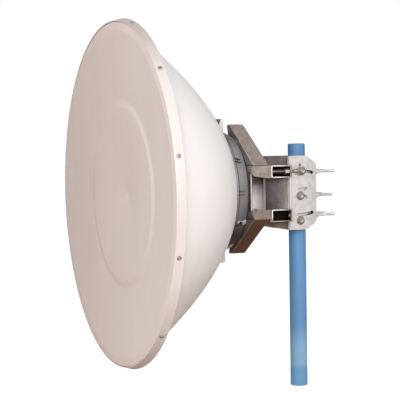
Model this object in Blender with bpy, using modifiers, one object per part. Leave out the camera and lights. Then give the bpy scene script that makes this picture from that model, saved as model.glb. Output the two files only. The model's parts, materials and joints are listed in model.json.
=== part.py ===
"""Point-to-point microwave dish antenna, 0.9 m, on a tilting yoke clamped to a tube mast.

Units are metres, +Z up. The origin is the centre of the mast's foot, the mast stands on
the Z axis, the dish looks along -Y and the side with the tilt screw is +X.
"""
import math

import bmesh
import bpy
from mathutils import Matrix, Vector

# Dish
AXIS_HEIGHT = 0.557
RIM_Y = -0.544
RIM_R = 0.457
EDGE_CUT = 0.001
BAND_DEPTH = 0.0234
BAND_SEAT = 0.003
BAND_REAR_R = 0.463
BAND_WALL = 0.0028
REFLECTOR_R = 0.434
REFLECTOR_FOCUS = 0.1532
REFLECTOR_HOLE_R = 0.080
FLANGE_DEPTH = 0.0115
SHELL = 0.0026
REFLECTOR_RINGS = 9
TURNS_DISH = 64

# Radome: a shallow cone that sinks towards its middle, with a raised disc
RADOME_SHELL = 0.003
RADOME_EDGE_R = 0.4536
RADOME_LIP_R = 0.436
RADOME_LIP_EASE = 0.003
RADOME_LIP_DROP = 0.0022
RADOME_BOW = 0.92
RADOME_FACE_STEPS = 4
RADOME_STEP_OUTER_R = 0.251
RADOME_STEP_INNER_R = 0.226
RADOME_STEP_OUTER_DEPTH = 0.023
RADOME_STEP_INNER_DEPTH = 0.0195
RADOME_CENTRE_DEPTH = 0.041
RADOME_SKIRT = 0.0080

# Hub behind the reflector
HUB_BACK_Y = -0.216
HUB_FRONT_R = 0.1745
HUB_BACK_R = 0.151
HUB_INNER_R = 0.105
HUB_EDGE_CUT = 0.0025
HUB_SEAT_GAP = 0.0005
HUB_SEAT_STEPS = 6
HUB_PLATE = 0.006
LUG_WIDTH = 0.024
LUG_FOOT = 0.160
LUG_TOP = 0.197
LUG_Y = -0.243
LUG_THICK = 0.012
PORT_R = 0.028
PORT_LENGTH = 0.016
PORT_BEHIND = 0.010
PORT_FLANGE = 0.0415
PORT_FLANGE_THICK = 0.006
GUIDE_HALF_X = 0.0114
GUIDE_HALF_Z = 0.0051

# Mast
MAST_R = 0.02415
MAST_WALL = 0.0032
MAST_TOP = 0.6796
CAP_THICK = 0.004
CAP_PLUG = 0.014
FOOT_THICK = 0.005

# Tilt pivot and the bolts above it, as heights from the dish's axis
BOLT_Y = -0.020
PIVOT_RISE = -0.0865
MIDDLE_RISE = -0.018
TOP_RISE = 0.051
TILT_UP = 2.0
TILT_DOWN = 15.0

# Cheeks, the two bright plates beside the mast
CHEEK_IN = 0.047
CHEEK_OUT = 0.060
CHEEK_FRONT = -0.052
CHEEK_REAR = 0.030
CHEEK_CENTRE_RISE = -0.0095
CHEEK_HALF = 0.1025
CHEEK_CHAMFER_Y = 0.029
CHEEK_CHAMFER_Z = 0.022
SLOT_HALF = 0.0045
SLOT_SLACK = 0.0006
BOLT_HOLE_R = 0.0043

# Yoke side castings
WALL_IN = 0.0347
WALL_OUT = 0.0467
WALL_FRONT = -0.1692
WALL_REAR = -0.040
TOP_WALL_FRONT = -0.124
LOW_WALL_RISE = -0.0985
SIDE_UP = 0.068
SIDE_DOWN = -0.087
TUNNEL_OUT = 0.074
TUNNEL_REAR = -0.0525
TUNNEL_END_WALL = 0.005
TUNNEL_TALL = 0.034
WINDOW_FRONT = -0.111
WINDOW_TALL = 0.027
POCKET_FLOOR = 0.0467
SPINDLE_HOLE_R = 0.0058
RIB_Y = -0.126
RIB_THICK = 0.006
RIB_OUT = 0.0525
NOSE_TIP = -0.177
NOSE_TIP_RISES = {1: 0.0523, -1: -0.0600}
NOSE_LIFT = 0.006
NOSE_BACK = -0.130
COVE_END = -0.1275
COVE_LIP = 0.001
COVE_BOW = 1.5
COVE_STEPS = 5
YOKE_PLATE_OUT = 0.066
YOKE_PLATE_THICK = 0.005
YOKE_PLATE_UP = 0.0505
YOKE_PLATE_DOWN = -0.0565
YOKE_PLATE_HOLE_R = 0.045

# Yoke arms
ARM_ROOT_UP = 0.068
ARM_ROOT_DOWN = -0.077
ARM_ROOT_FRONT = -0.1670
ARM_ROOT_REAR = -0.1205
ARM_ROOT_HALF = 0.074
ARM_TIP_FRONT = -0.2100
ARM_TIP_REAR = -0.1670
ARM_TIP_HALF = 0.008
ARM_TIP_UP = 0.182
ARM_TIP_DOWN = -0.174
ARM_WALL = 0.009
ARM_CAP = 0.030
ARM_HOLLOW_PAST = 0.060
ARM_FOOT_HALF = 0.026
ARM_FOOT_NEAR = 0.112
ARM_FOOT_FAR = 0.137
ARM_FOOT_REAR = -0.177

# Saddle and clamp around the mast
EAR_OUT = 0.0467
EAR_FRONT = -0.029
EAR_DRAFT = 0.001
SADDLE_REAR = 0.0095
SADDLE_NOSE = -0.044
SADDLE_NOSE_HALF = 0.021
SADDLE_UP = 0.070
SADDLE_DOWN = -0.102
BOLT_TIP = 0.037
CLAMP_FRONT = 0.0125
CLAMP_REAR = 0.042
CLAMP_SIDE = 0.042
CLAMP_CORNER_Y = 0.022
CLAMP_REAR_HALF = 0.036
STUD_X = 0.030
STUD_R = 0.004
STUD_TIP = 0.104
STUD_TIP_MIDDLE = 0.096
STUD_ROOT = -0.024
STUD_NUT = 0.012
STUD_RISES = {"top": 0.048, "middle": -0.018, "bottom": -0.074}

# Bolts and the tilt screw
BOLT_R = 0.004
WASHER_R = 0.0122
WASHER_THICK = 0.0025
HEX_R = 0.0075
HEAD_THICK = 0.0055
EYE_R = 0.0115
EYE_THICK = 0.010
EYE_BORE_R = 0.0046
SPINDLE_R = 0.004
SPINDLE_NECK_R = 0.0048
SPINDLE_NECK = 0.022
SPINDLE_LENGTH = 0.083
NUT_R = 0.0082
NUT_BORE_R = 0.0056
NUT_LENGTH = 0.013
SLEEVE_R = 0.0064

# Gap between touching pieces, overlap of fused shapes and how far a cutter runs past
GAP = 0.0003
FUSE = 0.001
PAST = 0.010

# A bar with more sides than a hexagon is shaded round, with edges past this angle kept sharp
HEX_SIDES = 6
SHARP_ANGLE = math.radians(40)


def clear_scene():
    """Remove every object of the open scene."""
    for item in list(bpy.data.objects):
        bpy.data.objects.remove(item, do_unlink=True)


def new_collection(name):
    """Return a new collection linked to the scene."""
    made = bpy.data.collections.new(name)
    bpy.context.scene.collection.children.link(made)
    return made


def finish(name, colour, roughness, metallic):
    """Return a Principled material."""
    made = bpy.data.materials.new(name)
    made.use_nodes = True
    shader = made.node_tree.nodes["Principled BSDF"]
    shader.inputs["Base Color"].default_value = (*colour, 1.0)
    shader.inputs["Roughness"].default_value = roughness
    shader.inputs["Metallic"].default_value = metallic
    return made


def add_object(name, mesh, collection):
    """Link a new object that holds the mesh."""
    made = bpy.data.objects.new(name, mesh)
    collection.objects.link(made)
    return made


def mesh_from(bm, name):
    """Turn a bmesh into a mesh and free it."""
    mesh = bpy.data.meshes.new(name)
    bm.to_mesh(mesh)
    bm.free()
    return mesh


def block(name, low, high, collection):
    """A box between two corners."""
    bm = bmesh.new()
    bmesh.ops.create_cube(bm, size=1.0)
    size = Vector(high) - Vector(low)
    centre = (Vector(high) + Vector(low)) / 2
    bmesh.ops.scale(bm, vec=size, verts=bm.verts)
    bmesh.ops.translate(bm, vec=centre, verts=bm.verts)
    return add_object(name, mesh_from(bm, name), collection)


def rod(name, start, end, radius, sides, collection):
    """A round or many-sided bar from one point to another."""
    start = Vector(start)
    along = Vector(end) - start
    turn = Vector((0, 0, 1)).rotation_difference(along).to_matrix().to_4x4()
    bm = bmesh.new()
    bmesh.ops.create_cone(bm, cap_ends=True, segments=sides, radius1=radius,
                          radius2=radius, depth=along.length)
    place = Matrix.Translation(start + along / 2) @ turn
    bmesh.ops.transform(bm, matrix=place, verts=bm.verts)
    mesh = mesh_from(bm, name)
    if sides > HEX_SIDES:
        mesh.shade_smooth()
        mesh.set_sharp_from_angle(angle=SHARP_ANGLE)
    return add_object(name, mesh, collection)


def turned(name, profile, turns, collection, closed=True):
    """Turn a profile of (radius, height) points about the object's Z axis."""
    bm = bmesh.new()
    points = [bm.verts.new((radius, 0.0, height)) for radius, height in profile]
    for first, second in zip(points, points[1:]):
        bm.edges.new((first, second))
    if closed:
        bm.edges.new((points[-1], points[0]))
    made = add_object(name, mesh_from(bm, name), collection)
    screw = made.modifiers.new("turn", "SCREW")
    screw.axis = "Z"
    screw.steps = turns
    screw.render_steps = turns
    screw.use_merge_vertices = True
    screw.merge_threshold = 0.00005
    screw.use_smooth_shade = True
    return made


def face_forward(item):
    """Point an object's +Z along -Y, with its origin on the dish's rim plane."""
    item.rotation_euler = (math.pi / 2, 0.0, 0.0)
    item.location = (0.0, RIM_Y, AXIS_HEIGHT)


def outline_mesh(name, outline, holes, half_thick, matrix, collection):
    """Extrude a flat outline with holes, weld its caps and place it."""
    curve = bpy.data.curves.new(name, "CURVE")
    curve.dimensions = "2D"
    curve.fill_mode = "BOTH"
    curve.extrude = half_thick
    for loop in [outline, *holes]:
        spline = curve.splines.new("POLY")
        spline.points.add(len(loop) - 1)
        for point, (across, up) in zip(spline.points, loop):
            point.co = (across, up, 0.0, 1.0)
        spline.use_cyclic_u = True
    carrier = bpy.data.objects.new(name + "_outline", curve)
    collection.objects.link(carrier)
    bpy.context.view_layer.update()
    graph = bpy.context.evaluated_depsgraph_get()
    mesh = bpy.data.meshes.new_from_object(carrier.evaluated_get(graph))
    bpy.data.objects.remove(carrier, do_unlink=True)
    bm = bmesh.new()
    bm.from_mesh(mesh)
    bmesh.ops.remove_doubles(bm, verts=bm.verts, dist=0.00001)
    bmesh.ops.transform(bm, matrix=matrix, verts=bm.verts)
    bmesh.ops.recalc_face_normals(bm, faces=bm.faces)
    bm.to_mesh(mesh)
    bm.free()
    mesh.name = name
    return add_object(name, mesh, collection)


def side_matrix(middle_x):
    """Matrix that takes outline (y, z) to the YZ plane at one x."""
    return Matrix(((0, 0, 1, middle_x), (1, 0, 0, 0), (0, 1, 0, 0), (0, 0, 0, 1)))


def plan_matrix(middle_z):
    """Matrix that takes outline (x, y) to a level plane at one height."""
    return Matrix.Translation((0, 0, middle_z))


def boolean(item, other, operation):
    """Cut or join another object by a live Boolean."""
    modifier = item.modifiers.new(operation.lower(), "BOOLEAN")
    modifier.operation = operation
    modifier.solver = "EXACT"
    modifier.object = other


def cut(item, other):
    """Cut another object's shape out of this one."""
    boolean(item, other, "DIFFERENCE")


def join(item, other):
    """Fuse another object's shape with this one."""
    boolean(item, other, "UNION")


def arc_points(centre, radius, start, end, count):
    """Points along an arc, angles in degrees from +y towards +z."""
    steps = [math.radians(start + (end - start) * step / (count - 1)) for step in range(count)]
    return [(centre[0] + radius * math.cos(a), centre[1] + radius * math.sin(a)) for a in steps]


def circle_points(centre, radius, count):
    """Points round a full circle."""
    return arc_points(centre, radius, 0.0, 360.0 * (count - 1) / count, count)


def curved_slot(pivot, radius, start, end, half_width):
    """Outline of a slot that follows an arc round a pivot, with round ends."""
    outer = arc_points(pivot, radius + half_width, start, end, 9)
    inner = arc_points(pivot, radius - half_width, end, start, 9)
    last = arc_points(pivot, radius, end, end + 1, 2)[0]
    first = arc_points(pivot, radius, start, start + 1, 2)[0]
    end_cap = arc_points(last, half_width, end, end + 180, 7)[1:-1]
    start_cap = arc_points(first, half_width, start + 180, start + 360, 7)[1:-1]
    return outer + end_cap + inner + start_cap


def reflector_y(radius):
    """Distance along Y of the reflector's outer face at one radius."""
    drop = (REFLECTOR_R ** 2 - radius ** 2) / (4 * REFLECTOR_FOCUS)
    return RIM_Y + BAND_DEPTH + drop


def local(y):
    """Height along a forward-facing object's own Z for a world Y."""
    return RIM_Y - y


def side_block(name, side, across, along, heights, collection):
    """A box on one side, between two distances from the middle plane."""
    near, far = sorted((side * across[0], side * across[1]))
    return block(name, (near, along[0], heights[0]), (far, along[1], heights[1]), collection)


class Builder:
    """Holds the collections, finishes and joint empties while the pieces are made."""

    def __init__(self):
        self.parts = new_collection("microwave_dish")
        self.tools = new_collection("cutters")
        self.white = finish("white_paint", (0.86, 0.83, 0.81), 0.35, 0.0)
        self.radome = finish("radome_plastic", (0.56, 0.47, 0.43), 0.45, 0.0)
        self.cast = finish("dark_casting", (0.22, 0.20, 0.19), 0.55, 0.8)
        self.hub = finish("hub_casting", (0.25, 0.235, 0.225), 0.5, 0.8)
        self.bright = finish("bright_plate", (0.62, 0.60, 0.58), 0.45, 0.8)
        self.steel = finish("bolt_steel", (0.42, 0.39, 0.37), 0.35, 1.0)
        self.blue = finish("blue_paint", (0.13, 0.30, 0.53), 0.4, 0.0)
        self.turn_empty = self.empty("mast_turn", (0, 0, AXIS_HEIGHT))
        self.tilt_empty = self.empty("tilt_pivot", (0, BOLT_Y, AXIS_HEIGHT + PIVOT_RISE))
        self.screw_empty = self.empty("tilt_screw_pivot", (0, BOLT_Y, AXIS_HEIGHT + TOP_RISE))

    def empty(self, name, place):
        """An empty on a joint's axis."""
        made = bpy.data.objects.new(name, None)
        made.location = place
        self.parts.objects.link(made)
        bpy.context.view_layer.update()
        return made

    def keep(self, item, material, carrier=None):
        """Give a piece its finish and hang it on its joint's empty."""
        item.data.materials.clear()
        item.data.materials.append(material)
        if carrier is not None:
            item.parent = carrier
            item.matrix_parent_inverse = carrier.matrix_world.inverted()
        return item

    def tool(self, item):
        """Hide a cutter or a shape that another piece takes in."""
        item.hide_render = True
        item.display_type = "WIRE"
        return item

    def make_mast(self):
        """Tube, foot plate and cap."""
        tube = turned("mast_tube", [(MAST_R, MAST_TOP), (MAST_R, FOOT_THICK + GAP),
                                    (MAST_R - MAST_WALL, FOOT_THICK + GAP),
                                    (MAST_R - MAST_WALL, MAST_TOP)], 48, self.parts)
        self.keep(tube, self.blue)
        foot = rod("mast_foot_plate", (0, 0, 0), (0, 0, FOOT_THICK), MAST_R, 48, self.parts)
        self.keep(foot, self.blue)
        base = MAST_TOP + GAP
        top = base + CAP_THICK
        plug = MAST_R - MAST_WALL - GAP
        profile = [(0, top), (MAST_R - 3 * EDGE_CUT, top), (MAST_R - EDGE_CUT, top - EDGE_CUT),
                   (MAST_R, top - 3 * EDGE_CUT), (MAST_R, base), (plug, base),
                   (plug, base - CAP_PLUG), (0, base - CAP_PLUG)]
        cap = turned("mast_cap", profile, 48, self.parts, closed=False)
        self.keep(cap, self.blue)

    def make_radome(self):
        """Front cover: lip, sinking cone, raised disc and a skirt inside the band."""
        start = RADOME_LIP_R - RADOME_LIP_EASE
        profile = [(RADOME_EDGE_R, -RADOME_SKIRT), (RADOME_EDGE_R, -EDGE_CUT),
                   (RADOME_EDGE_R - EDGE_CUT, 0.0), (RADOME_LIP_R, 0.0), (start, -RADOME_LIP_DROP)]
        for step in range(1, RADOME_FACE_STEPS + 1):
            part = step / RADOME_FACE_STEPS
            radius = start + (RADOME_STEP_OUTER_R - start) * part
            sink = (RADOME_STEP_OUTER_DEPTH - RADOME_LIP_DROP) * part ** RADOME_BOW
            profile.append((radius, -RADOME_LIP_DROP - sink))
        profile.append((RADOME_STEP_INNER_R, -RADOME_STEP_INNER_DEPTH))
        for step in range(1, RADOME_FACE_STEPS):
            part = step / RADOME_FACE_STEPS
            depth = RADOME_STEP_INNER_DEPTH + (RADOME_CENTRE_DEPTH - RADOME_STEP_INNER_DEPTH) * part
            profile.append((RADOME_STEP_INNER_R * (1 - part), -depth))
        profile.append((0.0, -RADOME_CENTRE_DEPTH))
        skin = turned("radome", list(reversed(profile)), TURNS_DISH, self.parts, closed=False)
        wall = skin.modifiers.new("wall", "SOLIDIFY")
        wall.thickness = RADOME_SHELL
        wall.offset = -1.0
        wall.use_even_offset = True
        face_forward(skin)
        self.keep(skin, self.radome, self.tilt_empty)

    def make_band(self):
        """Rim band with a return lip behind it."""
        back = -BAND_DEPTH
        reach = math.sqrt(REFLECTOR_R ** 2 + 4 * REFLECTOR_FOCUS * BAND_SEAT) + 2 * GAP
        section = [(RIM_R, 0.0), (BAND_REAR_R, back + EDGE_CUT), (BAND_REAR_R - EDGE_CUT, back),
                   (reach, back), (reach, back + BAND_WALL),
                   (BAND_REAR_R - BAND_WALL - 2 * EDGE_CUT, back + BAND_WALL), (RIM_R - BAND_WALL, -EDGE_CUT),
                   (RIM_R - BAND_WALL, 0.0)]
        band = turned("rim_band", section, TURNS_DISH, self.parts)
        face_forward(band)
        self.keep(band, self.white, self.tilt_empty)

    def make_reflector(self):
        """Paraboloid shell with a turned-out flange that carries the radome's skirt."""
        rim_r = math.sqrt(REFLECTOR_R ** 2 + 4 * REFLECTOR_FOCUS * (BAND_DEPTH - FLANGE_DEPTH))
        profile = [(RADOME_EDGE_R, -FLANGE_DEPTH), (rim_r + EDGE_CUT, -FLANGE_DEPTH),
                   (rim_r, -FLANGE_DEPTH - EDGE_CUT)]
        for step in range(1, REFLECTOR_RINGS + 1):
            radius = rim_r + (REFLECTOR_HOLE_R - rim_r) * step / REFLECTOR_RINGS
            profile.append((radius, local(reflector_y(radius))))
        shell = turned("reflector", profile, TURNS_DISH, self.parts, closed=False)
        wall = shell.modifiers.new("wall", "SOLIDIFY")
        wall.thickness = SHELL
        wall.offset = -1.0
        wall.use_even_offset = True
        face_forward(shell)
        self.keep(shell, self.white, self.tilt_empty)

    def make_hub(self):
        """Cast ring on the reflector's back with its two lugs, the closing plate and the port."""
        back = local(HUB_BACK_Y)
        section = [(HUB_FRONT_R, local(reflector_y(HUB_FRONT_R) + HUB_SEAT_GAP)),
                   (HUB_BACK_R + HUB_EDGE_CUT, back + HUB_EDGE_CUT), (HUB_BACK_R, back), (HUB_INNER_R, back)]
        for step in range(HUB_SEAT_STEPS):
            radius = HUB_INNER_R + (HUB_FRONT_R - HUB_INNER_R) * step / HUB_SEAT_STEPS
            section.append((radius, local(reflector_y(radius) + HUB_SEAT_GAP)))
        ring = turned("hub_ring", section, TURNS_DISH, self.parts)
        face_forward(ring)
        for side, name in ((1, "top"), (-1, "bottom")):
            near = AXIS_HEIGHT + side * LUG_FOOT
            far = AXIS_HEIGHT + side * LUG_TOP
            lug = block("lug_" + name, (-LUG_WIDTH / 2, LUG_Y - LUG_THICK / 2, min(near, far)),
                        (LUG_WIDTH / 2, LUG_Y + LUG_THICK / 2, max(near, far)), self.tools)
            join(ring, self.tool(lug))
        self.keep(ring, self.hub, self.tilt_empty)
        front = local(HUB_BACK_Y - HUB_PLATE)
        plate = turned("hub_plate", [(PORT_R + GAP, front), (HUB_INNER_R - GAP, front),
                                     (HUB_INNER_R - GAP, back), (PORT_R + GAP, back)], 48, self.parts)
        face_forward(plate)
        self.keep(plate, self.hub, self.tilt_empty)
        end = HUB_BACK_Y + PORT_LENGTH
        start = HUB_BACK_Y - PORT_BEHIND
        port = rod("waveguide_port", (0, start, AXIS_HEIGHT), (0, end, AXIS_HEIGHT), PORT_R, 40, self.parts)
        half = PORT_FLANGE / 2
        face = block("port_flange", (-half, end - FUSE, AXIS_HEIGHT - half),
                     (half, end + PORT_FLANGE_THICK, AXIS_HEIGHT + half), self.tools)
        join(port, self.tool(face))
        guide = block("waveguide_bore", (-GUIDE_HALF_X, start - PAST, AXIS_HEIGHT - GUIDE_HALF_Z),
                      (GUIDE_HALF_X, end + 2 * PAST, AXIS_HEIGHT + GUIDE_HALF_Z), self.tools)
        cut(port, self.tool(guide))
        self.keep(port, self.bright, self.tilt_empty)

    def cheek_holes(self):
        """Pivot holes and curved slots of a cheek, with the mirrored set for turning it over."""
        holes = []
        for side in (1, -1):
            pivot_rise = CHEEK_CENTRE_RISE + side * (PIVOT_RISE - CHEEK_CENTRE_RISE)
            pivot = (BOLT_Y, AXIS_HEIGHT + pivot_rise)
            holes.append(circle_points(pivot, BOLT_HOLE_R, 20))
            for rise in (MIDDLE_RISE, TOP_RISE):
                radius = rise - PIVOT_RISE
                slack = math.degrees(SLOT_SLACK / radius)
                start = side * 90 - side * (TILT_DOWN + slack)
                end = side * 90 + side * (TILT_UP + slack)
                holes.append(curved_slot(pivot, radius, min(start, end), max(start, end), SLOT_HALF))
        return holes

    def make_cheeks(self):
        """The two bright plates beside the mast."""
        middle = AXIS_HEIGHT + CHEEK_CENTRE_RISE
        up = middle + CHEEK_HALF
        down = middle - CHEEK_HALF
        corner = CHEEK_REAR - CHEEK_CHAMFER_Y
        outline = [(CHEEK_FRONT, down), (corner, down), (CHEEK_REAR, down + CHEEK_CHAMFER_Z),
                   (CHEEK_REAR, up - CHEEK_CHAMFER_Z), (corner, up), (CHEEK_FRONT, up)]
        for side, name in ((1, "near"), (-1, "far")):
            plate = outline_mesh("cheek_" + name, outline, self.cheek_holes(), (CHEEK_OUT - CHEEK_IN) / 2,
                                 side_matrix(side * (CHEEK_OUT + CHEEK_IN) / 2), self.parts)
            self.keep(plate, self.bright, self.tilt_empty)

    def make_side(self, side, name):
        """Side casting of the yoke: wall, cove behind the plate, rib, and two tunnels with pockets."""
        middle = AXIS_HEIGHT + CHEEK_CENTRE_RISE
        low = AXIS_HEIGHT + SIDE_DOWN
        high = AXIS_HEIGHT + SIDE_UP
        wall = side_block("yoke_side_" + name, side, (WALL_IN, WALL_OUT), (WALL_FRONT, WALL_REAR),
                          (low, high), self.parts)
        outline = [(TOP_WALL_FRONT, middle + CHEEK_HALF), (TOP_WALL_FRONT, AXIS_HEIGHT + LOW_WALL_RISE),
                   (CHEEK_FRONT, middle - CHEEK_HALF), (WALL_REAR, middle - CHEEK_HALF),
                   (WALL_REAR, middle + CHEEK_HALF)]
        rear = outline_mesh("side_rear_" + name, outline, [], (WALL_OUT - WALL_IN) / 2,
                            side_matrix(side * (WALL_OUT + WALL_IN) / 2), self.tools)
        rib = side_block("side_rib_" + name, side, (WALL_OUT - FUSE, RIB_OUT),
                         (RIB_Y - RIB_THICK / 2, RIB_Y + RIB_THICK / 2), (low + PAST, high - PAST),
                         self.tools)
        added = [rear, self.make_cove(side, name), rib]
        for way, end in ((1, high), (-1, low)):
            added.append(self.make_tunnel(side, way, end, name))
        for shape in added:
            join(wall, self.tool(shape))
        plate_low = AXIS_HEIGHT + YOKE_PLATE_DOWN - GAP
        plate_high = AXIS_HEIGHT + YOKE_PLATE_UP + GAP
        room = side_block("plate_room_" + name, side, (WALL_IN - PAST, YOKE_PLATE_OUT + GAP),
                          (WALL_FRONT - GAP - PAST, WALL_FRONT), (plate_low, plate_high), self.tools)
        cut(wall, self.tool(room))
        room = side_block("arm_room_" + name, side, (WALL_IN - PAST, TUNNEL_OUT + PAST),
                          (NOSE_TIP - PAST, ARM_ROOT_REAR + GAP),
                          (middle - CHEEK_HALF - PAST, AXIS_HEIGHT + ARM_ROOT_DOWN), self.tools)
        cut(wall, self.tool(room))
        for way, end in ((1, high), (-1, low)):
            centre = end - way * TUNNEL_TALL / 2
            pocket = side_block("pocket_" + str(way) + name, side, (POCKET_FLOOR, TUNNEL_OUT + PAST),
                                (WINDOW_FRONT, TUNNEL_REAR - TUNNEL_END_WALL),
                                (centre - WINDOW_TALL / 2, centre + WINDOW_TALL / 2), self.tools)
            cut(wall, self.tool(pocket))
            axis_x = side * (CHEEK_OUT + GAP + EYE_THICK / 2)
            hole = rod("spindle_hole_" + str(way) + name, (axis_x, TUNNEL_REAR - PAST, centre),
                       (axis_x, TUNNEL_REAR + PAST, centre), SPINDLE_HOLE_R, 24, self.tools)
            cut(wall, self.tool(hole))
        self.keep(wall, self.cast, self.tilt_empty)

    def make_cove(self, side, name):
        """Hollow curve from the plate's edge down to the wall, between the tunnels."""
        deep = YOKE_PLATE_OUT - COVE_LIP - WALL_OUT
        length = COVE_END - WALL_FRONT
        curve = []
        for step in range(COVE_STEPS + 1):
            part = step / COVE_STEPS
            curve.append((side * (WALL_OUT + deep * (1 - part) ** COVE_BOW), WALL_FRONT + length * part))
        outline = [(side * (WALL_OUT - FUSE), WALL_FRONT), *curve, (side * (WALL_OUT - FUSE), COVE_END)]
        low = AXIS_HEIGHT + SIDE_DOWN + TUNNEL_TALL - FUSE
        high = AXIS_HEIGHT + SIDE_UP - TUNNEL_TALL + NOSE_LIFT + FUSE
        return outline_mesh("cove_" + name, outline, [], (high - low) / 2,
                            plan_matrix((high + low) / 2), self.tools)

    def make_tunnel(self, side, way, end, name):
        """Tunnel along the top or bottom of a side casting, with a pointed nose at the front."""
        inner = end - way * TUNNEL_TALL
        root = AXIS_HEIGHT + (ARM_ROOT_UP if way > 0 else ARM_ROOT_DOWN)
        outline = [(TUNNEL_REAR, end), (ARM_ROOT_REAR, end), (ARM_ROOT_FRONT, root),
                   (NOSE_TIP, AXIS_HEIGHT + NOSE_TIP_RISES[way]), (ARM_ROOT_FRONT, inner + NOSE_LIFT),
                   (NOSE_BACK, inner), (TUNNEL_REAR, inner)]
        half = (TUNNEL_OUT - WALL_OUT + FUSE) / 2
        return outline_mesh("tunnel_" + str(way) + name, outline, [], half,
                            side_matrix(side * (TUNNEL_OUT - half)), self.tools)

    def make_yoke_plate(self):
        """Upright plate that ties the two side castings together at the front."""
        rear = WALL_FRONT - GAP
        plate = block("yoke_plate", (-YOKE_PLATE_OUT, rear - YOKE_PLATE_THICK, AXIS_HEIGHT + YOKE_PLATE_DOWN),
                      (YOKE_PLATE_OUT, rear, AXIS_HEIGHT + YOKE_PLATE_UP), self.parts)
        middle = AXIS_HEIGHT + (YOKE_PLATE_UP + YOKE_PLATE_DOWN) / 2
        hole = rod("yoke_plate_hole", (0, rear - YOKE_PLATE_THICK - PAST, middle), (0, rear + PAST, middle),
                   YOKE_PLATE_HOLE_R, 40, self.tools)
        cut(plate, self.tool(hole))
        self.keep(plate, self.bright, self.tilt_empty)

    def arm_solid(self, name, ends, span, inset, rear_extra, collection):
        """A leaning block between two rises, whose level sections shrink from root to tip.

        ends are the block's two rises and span the arm's own root and tip, which set the taper.
        """
        root, tip = span
        low, high = sorted(ends)
        bm = bmesh.new()
        bmesh.ops.create_cube(bm, size=2.0)
        for vert in bm.verts:
            rise = high if vert.co.z > 0 else low
            part = (rise - root) / (tip - root)
            half = ARM_ROOT_HALF + (ARM_TIP_HALF - ARM_ROOT_HALF) * part - inset
            front = ARM_ROOT_FRONT + (ARM_TIP_FRONT - ARM_ROOT_FRONT) * part + inset
            rear = ARM_ROOT_REAR + (ARM_TIP_REAR - ARM_ROOT_REAR) * part + rear_extra
            across = math.copysign(half, vert.co.x)
            vert.co = (across, rear if vert.co.y > 0 else front, AXIS_HEIGHT + rise)
        return add_object(name, mesh_from(bm, name), collection)

    def make_arm(self, name, root, tip):
        """A yoke arm: a channel open to the rear with a foot on the hub ring's back."""
        sense = 1.0 if tip > root else -1.0
        arm = self.arm_solid(name, (root + sense * GAP, tip), (root, tip), 0.0, 0.0, self.parts)
        near = AXIS_HEIGHT + sense * ARM_FOOT_NEAR
        far = AXIS_HEIGHT + sense * ARM_FOOT_FAR
        foot = block(name + "_foot", (-ARM_FOOT_HALF, HUB_BACK_Y + GAP, min(near, far)),
                     (ARM_FOOT_HALF, ARM_FOOT_REAR, max(near, far)), self.tools)
        join(arm, self.tool(foot))
        ends = (root - sense * ARM_HOLLOW_PAST, tip - sense * ARM_CAP)
        hollow = self.arm_solid(name + "_hollow", ends, (root, tip), ARM_WALL, ARM_HOLLOW_PAST, self.tools)
        cut(arm, self.tool(hollow))
        self.keep(arm, self.cast, self.tilt_empty)

    def make_saddle(self):
        """U-shaped block in front of the mast, bored for the cheek bolts and the studs."""
        low = AXIS_HEIGHT + SADDLE_DOWN
        high = AXIS_HEIGHT + SADDLE_UP
        seat = MAST_R + GAP
        front = [(-EAR_OUT, SADDLE_REAR), (-EAR_OUT, EAR_FRONT + EAR_DRAFT),
                 (-SADDLE_NOSE_HALF, EAR_FRONT), (-SADDLE_NOSE_HALF, SADDLE_NOSE),
                 (SADDLE_NOSE_HALF, SADDLE_NOSE), (SADDLE_NOSE_HALF, EAR_FRONT),
                 (EAR_OUT, EAR_FRONT + EAR_DRAFT), (EAR_OUT, SADDLE_REAR), (seat, SADDLE_REAR)]
        outline = front + arc_points((0, 0), seat, 0, -180, 17) + [(-seat, SADDLE_REAR)]
        saddle = outline_mesh("pole_saddle", outline, [], (high - low) / 2,
                              plan_matrix((high + low) / 2), self.parts)
        for side in (1, -1):
            for rise in (PIVOT_RISE, MIDDLE_RISE, TOP_RISE):
                height = AXIS_HEIGHT + rise
                bore = rod("bolt_bore", (side * (BOLT_TIP - GAP), BOLT_Y, height),
                           (side * (CHEEK_IN + PAST), BOLT_Y, height), BOLT_R + GAP, 20, self.tools)
                cut(saddle, self.tool(bore))
            for rise in STUD_RISES.values():
                height = AXIS_HEIGHT + rise
                bore = rod("stud_bore", (side * STUD_X, STUD_ROOT - GAP, height),
                           (side * STUD_X, SADDLE_REAR + PAST, height), STUD_R + GAP, 20, self.tools)
                cut(saddle, self.tool(bore))
        self.keep(saddle, self.bright, self.turn_empty)

    def make_clamp(self):
        """Rear half of the mast clamp."""
        low = AXIS_HEIGHT + SADDLE_DOWN
        high = AXIS_HEIGHT + SADDLE_UP
        seat = MAST_R + GAP
        start = math.degrees(math.asin(CLAMP_FRONT / seat))
        rear = [(CLAMP_SIDE, CLAMP_FRONT), (CLAMP_SIDE, CLAMP_CORNER_Y), (CLAMP_REAR_HALF, CLAMP_REAR),
                (-CLAMP_REAR_HALF, CLAMP_REAR), (-CLAMP_SIDE, CLAMP_CORNER_Y), (-CLAMP_SIDE, CLAMP_FRONT)]
        outline = rear + arc_points((0, 0), seat, 180 - start, start, 13)
        clamp = outline_mesh("pole_clamp", outline, [], (high - low) / 2,
                             plan_matrix((high + low) / 2), self.parts)
        for side in (1, -1):
            for rise in STUD_RISES.values():
                height = AXIS_HEIGHT + rise
                bore = rod("clamp_bore", (side * STUD_X, CLAMP_FRONT - PAST, height),
                           (side * STUD_X, CLAMP_REAR + PAST, height), STUD_R + GAP, 20, self.tools)
                cut(clamp, self.tool(bore))
        self.keep(clamp, self.bright, self.turn_empty)

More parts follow.
